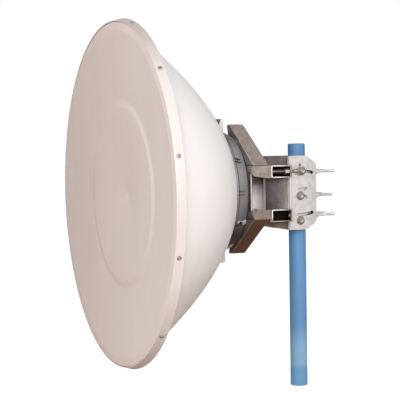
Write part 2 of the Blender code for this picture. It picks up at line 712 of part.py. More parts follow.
    def make_studs(self):
        """Six threaded studs with their washers and nuts."""
        for side, name in ((1, "near"), (-1, "far")):
            for level, rise in STUD_RISES.items():
                height = AXIS_HEIGHT + rise
                tip = STUD_TIP_MIDDLE if level == "middle" else STUD_TIP
                across = side * STUD_X
                stud = rod("stud_" + name + "_" + level, (across, STUD_ROOT, height), (across, tip, height),
                           STUD_R, 16, self.parts)
                seat = CLAMP_REAR + GAP
                nut = rod("stud_nut", (across, seat, height), (across, seat + STUD_NUT, height),
                          HEX_R, HEX_SIDES, self.tools)
                join(stud, self.tool(nut))
                self.keep(stud, self.steel, self.turn_empty)

    def make_bolts(self):
        """Three bolts with washers through each cheek."""
        for side, name in ((1, "near"), (-1, "far")):
            for level, rise in (("pivot", PIVOT_RISE), ("middle", MIDDLE_RISE), ("top", TOP_RISE)):
                height = AXIS_HEIGHT + rise
                seat = CHEEK_OUT + GAP
                if name == "near" and level == "top":
                    seat += EYE_THICK + GAP
                face = seat + WASHER_THICK
                bolt = rod("cheek_bolt_" + name + "_" + level, (side * BOLT_TIP, BOLT_Y, height),
                           (side * face, BOLT_Y, height), BOLT_R, 20, self.parts)
                washer = rod("washer", (side * seat, BOLT_Y, height), (side * face, BOLT_Y, height),
                             WASHER_R, 28, self.tools)
                join(bolt, self.tool(washer))
                head = rod("head", (side * (face - FUSE / 2), BOLT_Y, height),
                           (side * (face + HEAD_THICK), BOLT_Y, height), HEX_R, HEX_SIDES, self.tools)
                join(bolt, self.tool(head))
                self.keep(bolt, self.steel, self.turn_empty)

    def make_tilt_screw(self):
        """Eye on the top bolt with a threaded spindle, and the nut and sleeve that it screws into."""
        middle_x = CHEEK_OUT + GAP + EYE_THICK / 2
        height = AXIS_HEIGHT + TOP_RISE
        out = middle_x + EYE_THICK / 2
        spindle = rod("tilt_spindle", (CHEEK_OUT + GAP, BOLT_Y, height), (out, BOLT_Y, height),
                      EYE_R, 32, self.parts)
        neck_root = BOLT_Y - EYE_BORE_R - FUSE
        neck = rod("spindle_neck", (middle_x, neck_root, height), (middle_x, BOLT_Y - SPINDLE_NECK, height),
                   SPINDLE_NECK_R, 20, self.tools)
        join(spindle, self.tool(neck))
        thread = rod("spindle_thread", (middle_x, BOLT_Y - SPINDLE_NECK + 2 * FUSE, height),
                     (middle_x, BOLT_Y - SPINDLE_LENGTH, height), SPINDLE_R, 16, self.tools)
        join(spindle, self.tool(thread))
        bore = rod("eye_bore", (CHEEK_OUT - PAST, BOLT_Y, height), (out + PAST, BOLT_Y, height),
                   EYE_BORE_R, 24, self.tools)
        cut(spindle, self.tool(bore))
        self.keep(spindle, self.steel, self.screw_empty)
        rear = TUNNEL_REAR - TUNNEL_END_WALL - GAP
        front = rear - NUT_LENGTH
        nut = rod("tilt_nut", (middle_x, rear, height), (middle_x, front, height), NUT_R, HEX_SIDES,
                  self.parts)
        sleeve = rod("nut_sleeve", (middle_x, front + FUSE, height),
                     (middle_x, WINDOW_FRONT + GAP, height), SLEEVE_R, 24, self.tools)
        join(nut, self.tool(sleeve))
        nut_bore = rod("nut_bore", (middle_x, rear + PAST, height), (middle_x, WINDOW_FRONT - PAST, height),
                       NUT_BORE_R, 24, self.tools)
        cut(nut, self.tool(nut_bore))
        self.keep(nut, self.steel, self.tilt_empty)

    def make_all(self):
        """Make every piece."""
        self.make_mast()
        self.make_radome()
        self.make_band()
        self.make_reflector()
        self.make_hub()
        self.make_cheeks()
        self.make_side(1, "near")
        self.make_side(-1, "far")
        self.make_yoke_plate()
        self.make_arm("yoke_arm_upper", ARM_ROOT_UP, ARM_TIP_UP)
        self.make_arm("yoke_arm_lower", ARM_ROOT_DOWN, ARM_TIP_DOWN)
        self.make_saddle()
        self.make_clamp()
        self.make_studs()
        self.make_bolts()
        self.make_tilt_screw()


clear_scene()
Builder().make_all()
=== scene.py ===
"""Looks of a 0.9 m point-to-point microwave dish on a tilting cast yoke and a tube mast.

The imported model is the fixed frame. Turned and threaded pieces are surfaces of two parameters,
worked out as whole arrays, and the castings are the frame's own solids with rounded edges.
Lengths are metres, +Z is up, the dish looks along -Y and +X is the side with the tilt screw.
"""
from __future__ import annotations

import json
import logging
import math
from dataclasses import dataclass, field
from enum import Enum

import bmesh
import bpy
import numpy as np
from mathutils import Matrix, Vector


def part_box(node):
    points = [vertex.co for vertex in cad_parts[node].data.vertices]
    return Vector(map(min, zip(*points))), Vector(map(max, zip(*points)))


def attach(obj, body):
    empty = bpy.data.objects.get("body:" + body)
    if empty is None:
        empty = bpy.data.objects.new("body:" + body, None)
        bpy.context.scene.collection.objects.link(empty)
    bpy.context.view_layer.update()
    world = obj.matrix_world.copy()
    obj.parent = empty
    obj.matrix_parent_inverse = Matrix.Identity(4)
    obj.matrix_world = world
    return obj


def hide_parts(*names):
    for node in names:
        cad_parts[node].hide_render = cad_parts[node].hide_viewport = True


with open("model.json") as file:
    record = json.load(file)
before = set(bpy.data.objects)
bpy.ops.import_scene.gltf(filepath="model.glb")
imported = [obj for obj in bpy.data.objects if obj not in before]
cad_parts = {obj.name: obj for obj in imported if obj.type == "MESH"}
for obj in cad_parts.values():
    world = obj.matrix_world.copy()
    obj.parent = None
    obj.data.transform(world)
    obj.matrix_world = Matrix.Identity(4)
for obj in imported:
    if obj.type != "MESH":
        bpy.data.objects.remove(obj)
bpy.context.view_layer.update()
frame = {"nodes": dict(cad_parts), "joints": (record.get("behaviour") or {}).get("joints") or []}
NODES = frame["nodes"]
LOG = logging.getLogger("microwave_dish")

Point = tuple[float, float, float]
Colour = tuple[float, float, float]
Pair = tuple[float, float]
Socket = bpy.types.NodeSocket

# How near points weld, what counts as flat or sharp, and the margins of the patches
WELD = 0.000004
SOLID_WELD = 0.00001
FLAT_ANGLE = math.radians(0.6)
SHARP_ANGLE = math.radians(38.0)
BEVEL_ANGLE = math.radians(40.0)
THREAD_ANGLE = math.radians(60.0)
EDGE_NEAR = 0.0005
THIN = 0.001
HAIR = 0.0002
COAT_ROUGHNESS = 0.2
BUMP_STRENGTH = 0.6

M8_RADIUS = 0.004
M8_PITCH = 0.00125
M8_DEPTH = 0.0007
M8_FLATS = 0.0065
M8_BORE = 0.0041

UP = (0.0, 0.0, 1.0)
DOWN = (0.0, 0.0, -1.0)
BACK = (0.0, 1.0, 0.0)
FRONT = (0.0, -1.0, 0.0)
NEAR_WAY = (1.0, 0.0, 0.0)
FAR_WAY = (-1.0, 0.0, 0.0)


class Side(Enum):
    """The two sides of the upright middle plane."""

    NEAR = 1
    FAR = -1


class Pattern(Enum):
    """How a finish varies over its surface, by the group that masks it."""

    CLOUDED = "clouds"
    STREAKED = "streaks"
    CAST = "mottle"


# Surfaces as whole arrays


def grid_quads(rows: int, columns: int, wrap_rows: bool) -> np.ndarray:
    """Number the quads of a grid whose columns run round, each joining a point to the next ones.

    Args:
        rows: Points along the first parameter.
        columns: Points along the second parameter.
        wrap_rows: Whether the last row meets the first.

    Returns:
        Point numbers, four for each quad.
    """
    row = np.arange(rows if wrap_rows else rows - 1)
    i, j = np.meshgrid(row, np.arange(columns), indexing="ij")
    after_i = (i + 1) % rows
    after_j = (j + 1) % columns
    corners = [i * columns + j, i * columns + after_j,
               after_i * columns + after_j, after_i * columns + j]
    return np.stack(corners, axis=-1).reshape(-1, 4)


@dataclass
class Skin:
    """A grid of points with its wrapping, ready to be part of a mesh."""

    points: np.ndarray
    wrap_rows: bool = False

    def quads(self, first: int) -> np.ndarray:
        """Return the quads, with their points numbered from first."""
        rows, columns = self.points.shape[:2]
        return grid_quads(rows, columns, self.wrap_rows) + first


def placed(name: str, mesh: bpy.types.Mesh, bm: bmesh.types.BMesh, smooth_angle: float) -> bpy.types.Object:
    """Write edited faces to a mesh, smooth it and put it in the scene.

    Args:
        name: The object's name.
        mesh: The mesh to write to.
        bm: The edited faces, freed here.
        smooth_angle: Edges sharper than this stay sharp.

    Returns:
        The new object, at the origin.
    """
    bm.to_mesh(mesh)
    bm.free()
    if "custom_normal" in mesh.attributes:
        mesh.attributes.remove(mesh.attributes["custom_normal"])
    mesh.shade_smooth()
    mesh.set_sharp_from_angle(angle=smooth_angle)
    made = bpy.data.objects.new(name, mesh)
    bpy.context.scene.collection.objects.link(made)
    return made


def build_mesh(name: str, skins: list[Skin], smooth_angle: float = SHARP_ANGLE) -> bpy.types.Object:
    """Make one object of several closed skins, weld poles and seams and point faces outwards.

    Args:
        name: The piece's name.
        skins: Closed surfaces that make up the piece.
        smooth_angle: Edges sharper than this stay sharp.

    Returns:
        The new object, at the origin.
    """
    places: list[np.ndarray] = []
    faces: list[np.ndarray] = []
    count = 0
    for skin in skins:
        faces.append(skin.quads(count))
        places.append(skin.points.reshape(-1, 3))
        count += len(places[-1])
    mesh = bpy.data.meshes.new(name)
    mesh.from_pydata(np.concatenate(places).tolist(), [], np.concatenate(faces).tolist())
    bm = bmesh.new()
    bm.from_mesh(mesh)
    bmesh.ops.remove_doubles(bm, verts=bm.verts, dist=WELD)
    bmesh.ops.dissolve_degenerate(bm, dist=WELD / 4, edges=bm.edges)
    bmesh.ops.recalc_face_normals(bm, faces=bm.faces)
    return placed(name, mesh, bm, smooth_angle)


def rounded(corners: list[Pair], radius: float, steps: int = 5, closed: bool = True) -> np.ndarray:
    """Round the corners of a profile.

    Each corner c becomes the curve (1-t)^2 a + 2t(1-t) c + t^2 b, where a and b lie one radius
    before and after it, or not quite half of the side where that is shorter.

    Args:
        corners: The profile's corners as (radius, along).
        radius: How far from a corner its curve starts.
        steps: Points on each curve.
        closed: Whether the profile is a loop; an open one keeps its two ends.

    Returns:
        The rounded profile, one point a row.
    """
    here = np.array(corners, float)
    before = np.roll(here, 1, axis=0)
    after = np.roll(here, -1, axis=0)
    t = np.linspace(0.0, 1.0, steps)[None, :, None]

    def towards(other: np.ndarray) -> np.ndarray:
        """Return the points one radius from the corners, towards other."""
        way = other - here
        length = np.linalg.norm(way, axis=1, keepdims=True)
        share = np.minimum(radius, 0.46 * length) / np.maximum(length, 1e-9)
        return (here + way * share)[:, None, :]

    start, end, corner = towards(before), towards(after), here[:, None, :]
    curves = (1 - t) ** 2 * start + 2 * t * (1 - t) * corner + t ** 2 * end
    if closed:
        return curves.reshape(-1, 2)
    return np.concatenate([here[:1], curves[1:-1].reshape(-1, 2), here[-1:]])


def basis(direction: Point) -> tuple[np.ndarray, np.ndarray, np.ndarray]:
    """Return the unit vector along direction and two more at right angles to it."""
    along = np.array(direction, float)
    along = along / np.linalg.norm(along)
    helper = np.array(UP if abs(along[2]) < 0.9 else NEAR_WAY)
    across = np.cross(helper, along)
    across = across / np.linalg.norm(across)
    return along, across, np.cross(along, across)


def turn_profile(profile: np.ndarray, origin: Vector | tuple, direction: tuple, turns: int,
                 flats: float = 0.0, closed: bool = True) -> Skin:
    """Turn a profile about an axis.

    A point is origin + along * s + r * (across * cos a + up * sin a). With flats, r is the
    smaller of the profile's radius and flats / cos(a'), where a' is a wrapped to 30 degrees
    either side of the nearest flat's middle, which gives a hexagon with turned chamfers.

    Args:
        profile: Rows of (radius, distance along the axis).
        origin: The axis's start.
        direction: The axis's direction.
        turns: Points round the axis.
        flats: Half the width across flats, or 0 for a round piece.
        closed: Whether the profile is a loop.

    Returns:
        The turned skin.
    """
    along, across, up = basis(direction)
    angle = np.arange(turns) * (2 * np.pi / turns)
    radius = np.repeat(profile[:, :1], turns, axis=1)
    if flats:
        wrapped = np.mod(angle + np.pi / 6, np.pi / 3) - np.pi / 6
        radius = np.minimum(radius, (flats / np.cos(wrapped))[None, :])
    ring = np.cos(angle)[:, None] * across + np.sin(angle)[:, None] * up
    points = np.array(origin)[None, None, :] + profile[:, 1, None, None] * along
    return Skin(points + radius[:, :, None] * ring[None, :, :], wrap_rows=closed)


def disc(at: Vector | tuple, way: tuple, turns: int, radius: float, start: float, end: float,
         bevel: float, bore: float = 0.0) -> Skin:
    """Turn a disc with rounded edges, or a washer where it has a bore.

    Args:
        at: The axis's start.
        way: The axis's direction.
        turns: Points round the axis.
        radius: The disc's radius.
        start: Distance of its first face along the axis.
        end: Distance of its second face.
        bevel: How far its edges are rounded.
        bore: The bore's radius, or 0 for none.

    Returns:
        The disc's skin.
    """
    corners = [(bore, start), (radius, start), (radius, end), (bore, end)]
    return turn_profile(rounded(corners, bevel, closed=bool(bore)), at, way, turns, closed=bool(bore))


def hexagon(at: Vector | tuple, way: tuple, start: float, end: float, flats: float,
            bore: float = 0.0) -> Skin:
    """Turn a hexagon with a 30 degree chamfer at both ends, bored where it is a nut.

    Args:
        at: The axis's start.
        way: The axis's direction.
        start: Distance of its first face along the axis.
        end: Distance of its second face.
        flats: Half the width across flats.
        bore: The bore's radius, or 0 for none.

    Returns:
        The hexagon's skin.
    """
    corner, face = flats * 2 / math.sqrt(3), flats * 0.95
    drop = (corner - face) * math.tan(math.radians(30))
    points = [(bore, start), (face, start), (corner, start + drop),
              (corner, end - drop), (face, end), (bore, end)]
    steps = [np.linspace(first, last, 5)[:-1] for first, last in zip(points, points[1:])]
    profile = np.concatenate([*steps, points[-1:]])
    return turn_profile(profile, at, way, 48 if bore else 36, flats, closed=bool(bore))


def thread_skin(origin: Vector | tuple, direction: tuple, length: float,
                around: int = 20, rows_a_turn: int = 4) -> Skin:
    """An M8 screwed bar with flat ends.

    The radius is R - depth * |2 f - 1|, where f is the fraction of s / pitch - a / (2 pi),
    s the distance along the bar and a the angle round it. It falls to 0 at both ends.

    Args:
        origin: The bar's start.
        direction: The bar's direction.
        length: The bar's length.
        around: Points round the bar.
        rows_a_turn: Rings in one pitch.

    Returns:
        The bar's skin.
    """
    along, across, up = basis(direction)
    rows = int(length / M8_PITCH * rows_a_turn) + 1
    s = np.linspace(0.0, length, rows)[:, None]
    angle = (np.arange(around) * (2 * np.pi / around))[None, :]
    fraction = np.mod(s / M8_PITCH - angle / (2 * np.pi), 1.0)
    bar = M8_RADIUS - M8_DEPTH * np.abs(2 * fraction - 1)
    chamfer = np.minimum(s, length - s) + M8_RADIUS - 1.6 * M8_DEPTH
    bar = np.minimum(bar, chamfer)
    bar = np.concatenate([np.zeros((1, around)), bar, np.zeros((1, around))])
    s = np.concatenate([s[:1], s, s[-1:]])
    ring = np.cos(angle)[..., None] * across + np.sin(angle)[..., None] * up
    points = np.array(origin)[None, None, :] + s[..., None] * along + bar[..., None] * ring
    return Skin(points)


def pad_skin(middle: Vector | tuple, halves: Point, axes: tuple[tuple, tuple, tuple],
             power: float = 0.22, count: int = 20) -> Skin:
    """A block with soft edges, as a superellipsoid.

    With c(t) = sign(cos t) |cos t|^p and s(t) alike, a point is middle + a c(v) c(u) X +
    b c(v) s(u) Y + h s(v) Z. Angles are bunched so that points gather near the edges.

    Args:
        middle: The block's middle.
        halves: Half sizes a, b and h.
        axes: The three directions X, Y and Z.
        power: The exponent p; small is a sharper block.
        count: Points along a half turn.

    Returns:
        The block's skin.
    """
    def bent(values: np.ndarray) -> np.ndarray:
        """Return |value|^p with its sign kept."""
        return np.sign(values) * np.abs(values) ** power

    v = np.linspace(-np.pi / 2, np.pi / 2, count)
    v = v - 0.18 * np.sin(4 * v)
    u = np.arange(2 * count) * (np.pi / count) + np.pi / (4 * count)
    u = u - 0.18 * np.sin(4 * u)
    x = halves[0] * bent(np.cos(v))[:, None] * bent(np.cos(u))[None, :]
    y = halves[1] * bent(np.cos(v))[:, None] * bent(np.sin(u))[None, :]
    z = halves[2] * bent(np.sin(v))[:, None] * np.ones_like(u)[None, :]
    ways = [np.array(axis, float) for axis in axes]
    points = x[..., None] * ways[0] + y[..., None] * ways[1] + z[..., None] * ways[2]
    return Skin(points + np.array(middle))


def bead_skin(path: np.ndarray, out: Point, wide: float, tall: float, around: int = 14) -> Skin:
    """A raised bead along an open path on a flat face, tapered to nothing at both ends.

    With tangent T and N = T x out, a point is path + k (wide N cos a + tall out sin a), where k
    rises as the square root of the distance from the nearer end until it is 1.

    Args:
        path: Points along the path.
        out: Unit direction away from the face.
        wide: Half the bead's width.
        tall: How far it stands proud.
        around: Points round the bead.

    Returns:
        The bead's skin.
    """
    tangent = np.gradient(path, axis=0)
    tangent = tangent / np.linalg.norm(tangent, axis=1, keepdims=True)
    across = np.cross(tangent, np.array(out, float))
    number = np.arange(len(path))
    ends = np.minimum(number, len(path) - 1 - number)
    swell = np.sqrt(np.clip(ends / 3.0, 0.0, 1.0))[:, None, None]
    angle = (np.arange(around) * (2 * np.pi / around))[None, :, None]
    ring = wide * np.cos(angle) * across[:, None, :] + tall * np.sin(angle) * np.array(out, float)
    return Skin(path[:, None, :] + swell * ring)


# Finishes


@dataclass
class Wiring:
    """Adds and joins shader nodes in one node tree."""

    tree: bpy.types.NodeTree

    def add(self, kind: str, **settings: object) -> bpy.types.Node:
        """Add a node and set its properties."""
        made = self.tree.nodes.new(kind)
        for key, value in settings.items():
            setattr(made, key, value)
        return made

    def feed(self, target: Socket, value: object) -> None:
        """Give a socket a link, or a plain value."""
        if isinstance(value, Socket):
            self.tree.links.new(value, target)
        else:
            target.default_value = value

    def maths(self, operation: str, first: object, second: object = 0.0) -> Socket:
        """Add a Math node and return its result."""
        node = self.add("ShaderNodeMath", operation=operation)
        self.feed(node.inputs[0], first)
        self.feed(node.inputs[1], second)
        return node.outputs[0]

    def blend(self, first: object, second: object, share: float) -> Socket:
        """Add two values, the first by its share and the second by the rest."""
        return self.maths("ADD", self.maths("MULTIPLY", first, share),
                          self.maths("MULTIPLY", second, 1.0 - share))

    def ramp(self, value: object, low: object, high: object, start: float = 0.0, end: float = 1.0) -> Socket:
        """Ease a value from start at low to end at high."""
        node = self.add("ShaderNodeMapRange", interpolation_type="SMOOTHSTEP")
        for place, given in enumerate((value, low, high, start, end)):
            self.feed(node.inputs[place], given)
        return node.outputs[0]

    def mix(self, factor: object, first: object, second: object, mode: str = "MIX") -> Socket:
        """Mix two colours."""
        node = self.add("ShaderNodeMix", data_type="RGBA", blend_type=mode)
        self.feed(node.inputs[0], factor)
        self.feed(node.inputs[6], first)
        self.feed(node.inputs[7], second)
        return node.outputs[2]

    def noise(self, vector: Socket, scale: object, detail: float = 3.0, roughness: float = 0.55) -> Socket:
        """Add a noise texture and return its value."""
        node = self.add("ShaderNodeTexNoise")
        self.feed(node.inputs["Vector"], vector)
        self.feed(node.inputs["Scale"], scale)
        node.inputs["Detail"].default_value = detail
        node.inputs["Roughness"].default_value = roughness
        return node.outputs["Fac"]

    def along(self, place: Socket, way: Point, ends: Pair) -> Socket:
        """Ease from 0 to 1 between two distances along a direction."""
        node = self.add("ShaderNodeVectorMath", operation="DOT_PRODUCT")
        self.feed(node.inputs[0], place)
        node.inputs[1].default_value = way
        return self.ramp(node.outputs["Value"], *ends)

    def stretched(self, vector: Socket, scale: Point) -> Socket:
        """Scale a vector unevenly, which draws a pattern out along one way."""
        node = self.add("ShaderNodeMapping")
        self.feed(node.inputs["Vector"], vector)
        node.inputs["Scale"].default_value = scale
        return node.outputs[0]


def new_group(name: str, floats: dict[str, float],
              height: bool = False) -> tuple[Wiring, bpy.types.Node, bpy.types.Node]:
    """Start a shader node group that reads a Vector and gives a Mask.

    Args:
        name: The group's name.
        floats: Its other inputs with their first values.
        height: Whether it gives a Height too.

    Returns:
        The group's wiring, its input node and its output node.
    """
    group = bpy.data.node_groups.new(name, "ShaderNodeTree")
    group.interface.new_socket(name="Vector", in_out="INPUT", socket_type="NodeSocketVector")
    for label, value in floats.items():
        socket = group.interface.new_socket(name=label, in_out="INPUT", socket_type="NodeSocketFloat")
        socket.default_value = value
    for label in ("Mask", "Height") if height else ("Mask",):
        group.interface.new_socket(name=label, in_out="OUTPUT", socket_type="NodeSocketFloat")
    wire = Wiring(group)
    return wire, wire.add("NodeGroupInput"), wire.add("NodeGroupOutput")


def mottle_group() -> bpy.types.NodeTree:
    """Blotches and grain of a sand casting: broad patches, small pits and a fine grain."""
    wire, given, result = new_group("cast_mottle", {"Patch": 45.0, "Grain": 420.0}, height=True)
    patch = wire.noise(given.outputs["Vector"], given.outputs["Patch"], 4.0, 0.6)
    grain = wire.noise(given.outputs["Vector"], given.outputs["Grain"], 3.0, 0.7)
    wire.feed(result.inputs["Mask"], wire.ramp(wire.blend(patch, grain, 0.65), 0.36, 0.64))
    wire.feed(result.inputs["Height"], wire.maths("ADD", wire.maths("MULTIPLY", grain, 0.7), patch))
    return wire.tree


def ground_reflection_group() -> bpy.types.NodeTree:
    """How far a surface faces down, broken up by a little noise: where the warm ground's reflection is
    painted on.
    """
    wire, given, result = new_group("painted_ground_reflection", {"Start": 0.1, "End": 0.8})
    parts = wire.add("ShaderNodeSeparateXYZ")
    wire.feed(parts.inputs[0], wire.add("ShaderNodeNewGeometry").outputs["Normal"])
    down = wire.maths("MULTIPLY", parts.outputs["Z"], -1.0)
    centred = wire.maths("SUBTRACT", wire.noise(given.outputs["Vector"], 22.0), 0.5)
    down = wire.maths("ADD", down, wire.maths("MULTIPLY", centred, 0.3))
    wire.feed(result.inputs["Mask"], wire.ramp(down, given.outputs["Start"], given.outputs["End"]))
    return wire.tree


def upright_group(name: str, noises: tuple[tuple[Point, float], ...], share: float,
                  ends: Pair) -> bpy.types.NodeTree:
    """Make a soft upright pattern of two noises, as rain, moulding and spraying leave.

    Args:
        name: The group's name.
        noises: Scale along each axis and detail, of a broad noise and of a narrow one.
        share: How much of the pattern is the broad one.
        ends: Values between which the mask eases from 0 to 1.

    Returns:
        The group.
    """
    wire, given, result = new_group(name, {})
    broad, narrow = (wire.noise(wire.stretched(given.outputs["Vector"], scale), 1.0, detail)
                     for scale, detail in noises)
    wire.feed(result.inputs["Mask"], wire.ramp(wire.blend(broad, narrow, share), *ends))
    return wire.tree


GROUPS: dict[str, bpy.types.NodeTree] = {}


def use_group(wire: Wiring, name: str, vector: Socket, **values: float) -> bpy.types.Node:
    """Place a shared group in a material with its own values.

    Args:
        wire: The material's wiring.
        name: The group's name in GROUPS.
        vector: The coordinates that it reads.
        values: Values for its other inputs.

    Returns:
        The group's node.
    """
    node = wire.add("ShaderNodeGroup", node_tree=GROUPS[name])
    wire.feed(node.inputs["Vector"], vector)
    for label, value in values.items():
        node.inputs[label].default_value = value
    return node


def rgba(colour: Colour) -> tuple[float, float, float, float]:
    """Return a colour with full alpha."""
    return (*colour, 1.0)


@dataclass(frozen=True)
class Grade:
    """A tint that rises between two distances along a direction, and may fall again further on."""

    way: Point
    rise: Pair
    tint: Colour
    fall: Pair | None = None

    def apply(self, wire: Wiring, place: Socket, colour: Socket) -> Socket:
        """Return the colour multiplied by the tint where it holds."""
        share = wire.along(place, self.way, self.rise)
        if self.fall is not None:
            past = wire.along(place, self.way, self.fall)
            share = wire.maths("MULTIPLY", share, wire.maths("SUBTRACT", 1.0, past))
        return wire.mix(share, colour, rgba(self.tint), "MULTIPLY")


@dataclass(frozen=True)
class Finish:
    """A finish: its record slot, its colours and how they vary."""

    name: str
    slot: str
    pattern: Pattern
    colour: Colour
    second: Colour
    # below, below_share, below_start and below_end set a painted reflection of the warm ground on down-facing
    # faces
    below: Colour
    below_share: float = 0.0
    below_start: float = 0.1
    below_end: float = 0.7
    roughness: float = 0.4
    roughness_swing: float = 0.05
    metallic: float = 0.0
    specular: float = 0.5
    bump: float = 0.0
    patch: float = 45.0
    grain: float = 420.0
    coat: float = 0.0
    grades: tuple[Grade, ...] = ()
    made: dict = field(default_factory=dict, compare=False, repr=False)

    def material(self) -> bpy.types.Material:
        """Return the finish's material, made the first time."""
        if "material" not in self.made:
            self.made["material"] = self.build()
        return self.made["material"]

    def build(self) -> bpy.types.Material:
        """Wire the material: two colours by the pattern's mask, a painted reflection of the ground below,
        roughness and bump.
        """
        made = bpy.data.materials.new(self.name)
        made.use_nodes = True
        wire = Wiring(made.node_tree)
        shader = made.node_tree.nodes["Principled BSDF"]
        place = wire.add("ShaderNodeTexCoord").outputs["Object"]
        if self.pattern is Pattern.CAST:
            source = use_group(wire, self.pattern.value, place, Patch=self.patch, Grain=self.grain)
            mask, height = source.outputs["Mask"], source.outputs["Height"]
        else:
            mask = use_group(wire, self.pattern.value, place).outputs["Mask"]
            height = wire.noise(place, self.grain, 2.0)
        colour = wire.mix(mask, rgba(self.colour), rgba(self.second))
        if self.below_share:
            # Painted reflection of the warm ground on faces that look down, with less metal where it lies
            ground_bounce = use_group(wire, "below", place, Start=self.below_start, End=self.below_end).outputs["Mask"]
            share = wire.maths("MULTIPLY", ground_bounce, self.below_share)
            colour = wire.mix(share, colour, rgba(self.below))
            if self.metallic:
                wire.feed(shader.inputs["Metallic"], wire.ramp(share, 0.0, 1.0, self.metallic, 0.1))
        elif self.metallic:
            shader.inputs["Metallic"].default_value = self.metallic
        for grade in self.grades:
            colour = grade.apply(wire, place, colour)
        wire.feed(shader.inputs["Base Color"], colour)
        low, high = self.roughness - self.roughness_swing, self.roughness + self.roughness_swing
        wire.feed(shader.inputs["Roughness"], wire.ramp(mask, 0.0, 1.0, low, high))
        shader.inputs["Specular IOR Level"].default_value = self.specular
        if self.coat:
            shader.inputs["Coat Weight"].default_value = self.coat
            shader.inputs["Coat Roughness"].default_value = COAT_ROUGHNESS
        if self.bump:
            bump = wire.add("ShaderNodeBump")
            bump.inputs["Strength"].default_value = BUMP_STRENGTH
            bump.inputs["Distance"].default_value = self.bump
            wire.feed(bump.inputs["Height"], height)
            wire.feed(shader.inputs["Normal"], bump.outputs[0])
        return made


# Colours of the painted reflection of the warm ground on down-facing faces
BROWN = (0.100, 0.046, 0.019)
UMBER = (0.24, 0.13, 0.07)
WARM = (0.46, 0.36, 0.31)
# Ways along which painted shadow is graded on the hub ring and painted shade on the lug
BACK_LOW = (0.0, 0.8, -0.6)
LUG_WAY = (0.0, -0.928, 0.371)


def enamel(name: str, colour: Colour, second: Colour, *grades: Grade) -> Finish:
    """Return a white sprayed enamel with a warm painted reflection of the ground below."""
    return Finish(name, "white_paint", Pattern.CLOUDED, colour, second, WARM, below_share=0.35,
                  roughness=0.36, roughness_swing=0.03, bump=0.00003, grain=160.0, coat=0.1, grades=grades)


def cast(name: str, slot: str, colour: Colour, second: Colour, *grades: Grade,
         below: Colour = BROWN, **more: float) -> Finish:
    """Return a cast metal with the blotches of a sand mould."""
    return Finish(name, slot, Pattern.CAST, colour, second, below, grades=grades, **more)


def steel(name: str, colour: Colour, second: Colour, **more: float) -> Finish:
    """Return a small part's metal, finer in its grain than a casting."""
    return cast(name, "bolt_steel", colour, second, patch=150.0, grain=900.0, **more)


WHITE = enamel("white_enamel", (0.875, 0.857, 0.847), (0.855, 0.832, 0.822))
# Painted shade on the rim band: darker on top and round the middle heights, with a warm painted ground
# reflection at the bottom
BAND = enamel("rim_enamel", (0.635, 0.605, 0.59), (0.615, 0.585, 0.57),
              Grade(UP, (0.82, 1.0), (0.80, 0.71, 0.69)), Grade(DOWN, (-0.24, -0.10), (1.0, 0.90, 0.84)),
              Grade(UP, (0.36, 0.50), (0.92, 0.89, 0.88), fall=(0.60, 0.74)))
# The radome's grade is painted shade, darker towards the far side
RADOME = Finish("beige_moulding", "radome_plastic", Pattern.CLOUDED, (0.588, 0.517, 0.49),
                (0.564, 0.493, 0.466), WARM, roughness=0.5, roughness_swing=0.02, bump=0.00002, grain=500.0,
                grades=(Grade(FAR_WAY, (-0.30, 0.47), (0.80, 0.77, 0.76)),))
# Painted shade and shadow on the hub ring: darker low down and on top, a painted shadow line at its rear edge
# and painted shadows of the arms towards the rear; one more grade darkens a thin line near the front foot,
# and the umber below is a painted ground reflection
HUB = cast("grey_casting", "hub_casting", (0.40, 0.39, 0.40), (0.31, 0.30, 0.31),
           Grade(DOWN, (-0.60, -0.49), (0.70, 0.70, 0.72)), Grade(DOWN, (-0.50, -0.44), (0.25, 0.16, 0.10)),
           Grade(UP, (0.655, 0.71), (0.58, 0.56, 0.56)),
           Grade(BACK, (-0.2252, -0.2226), (0.22, 0.19, 0.17), fall=(-0.2172, -0.2162)),
           Grade(BACK, (-0.245, -0.224), (0.78, 0.78, 0.78)),
           Grade(BACK_LOW, (-0.452, -0.438), (0.27, 0.22, 0.19)),
           Grade(FRONT, (0.2530, 0.2550), (0.30, 0.27, 0.25), fall=(0.2562, 0.2576)),
           Grade(DOWN, (-0.452, -0.432), (0.48, 0.44, 0.42)), below=UMBER, below_share=0.9, below_start=0.3,
           below_end=0.75, roughness=0.44, metallic=0.6, specular=0.12, bump=0.00008, patch=24.0)
COVER = cast("grey_cover", "hub_casting", (0.36, 0.345, 0.34), (0.28, 0.265, 0.26), below_share=0.5,
             roughness=0.46, metallic=0.6, bump=0.00008, patch=24.0)
# The casting is darker below the lower nose as painted shade, and brown below as a painted ground reflection
CAST = cast("mottled_casting", "dark_casting", (0.335, 0.27, 0.228), (0.217, 0.19, 0.182),
            Grade(DOWN, (-0.513, -0.504), (0.74, 0.70, 0.69)), below_share=1.0, below_start=0.05,
            below_end=0.45, roughness=0.55, metallic=0.4, bump=0.00014, patch=75.0)
# A much lighter copy of the casting on front faces, painted light where the dish keeps the light off, with
# painted shade on top, in a narrow band and on the lower nose, and a brown-dark painted ground reflection at
# the bottom
CAST_PAINTED_LIGHT = cast("painted_light_casting", "dark_casting", (0.72, 0.67, 0.64), (0.56, 0.51, 0.48),
                  Grade(UP, (0.63, 0.71), (0.35, 0.33, 0.32)),
                  Grade(DOWN, (-0.47, -0.41), (0.40, 0.28, 0.22)),
                  Grade(UP, (0.582, 0.596), (0.55, 0.53, 0.53), fall=(0.606, 0.620)),
                  Grade(DOWN, (-0.513, -0.504), (0.52, 0.49, 0.48)), roughness=0.5, metallic=0.2,
                  bump=0.00012, patch=60.0)
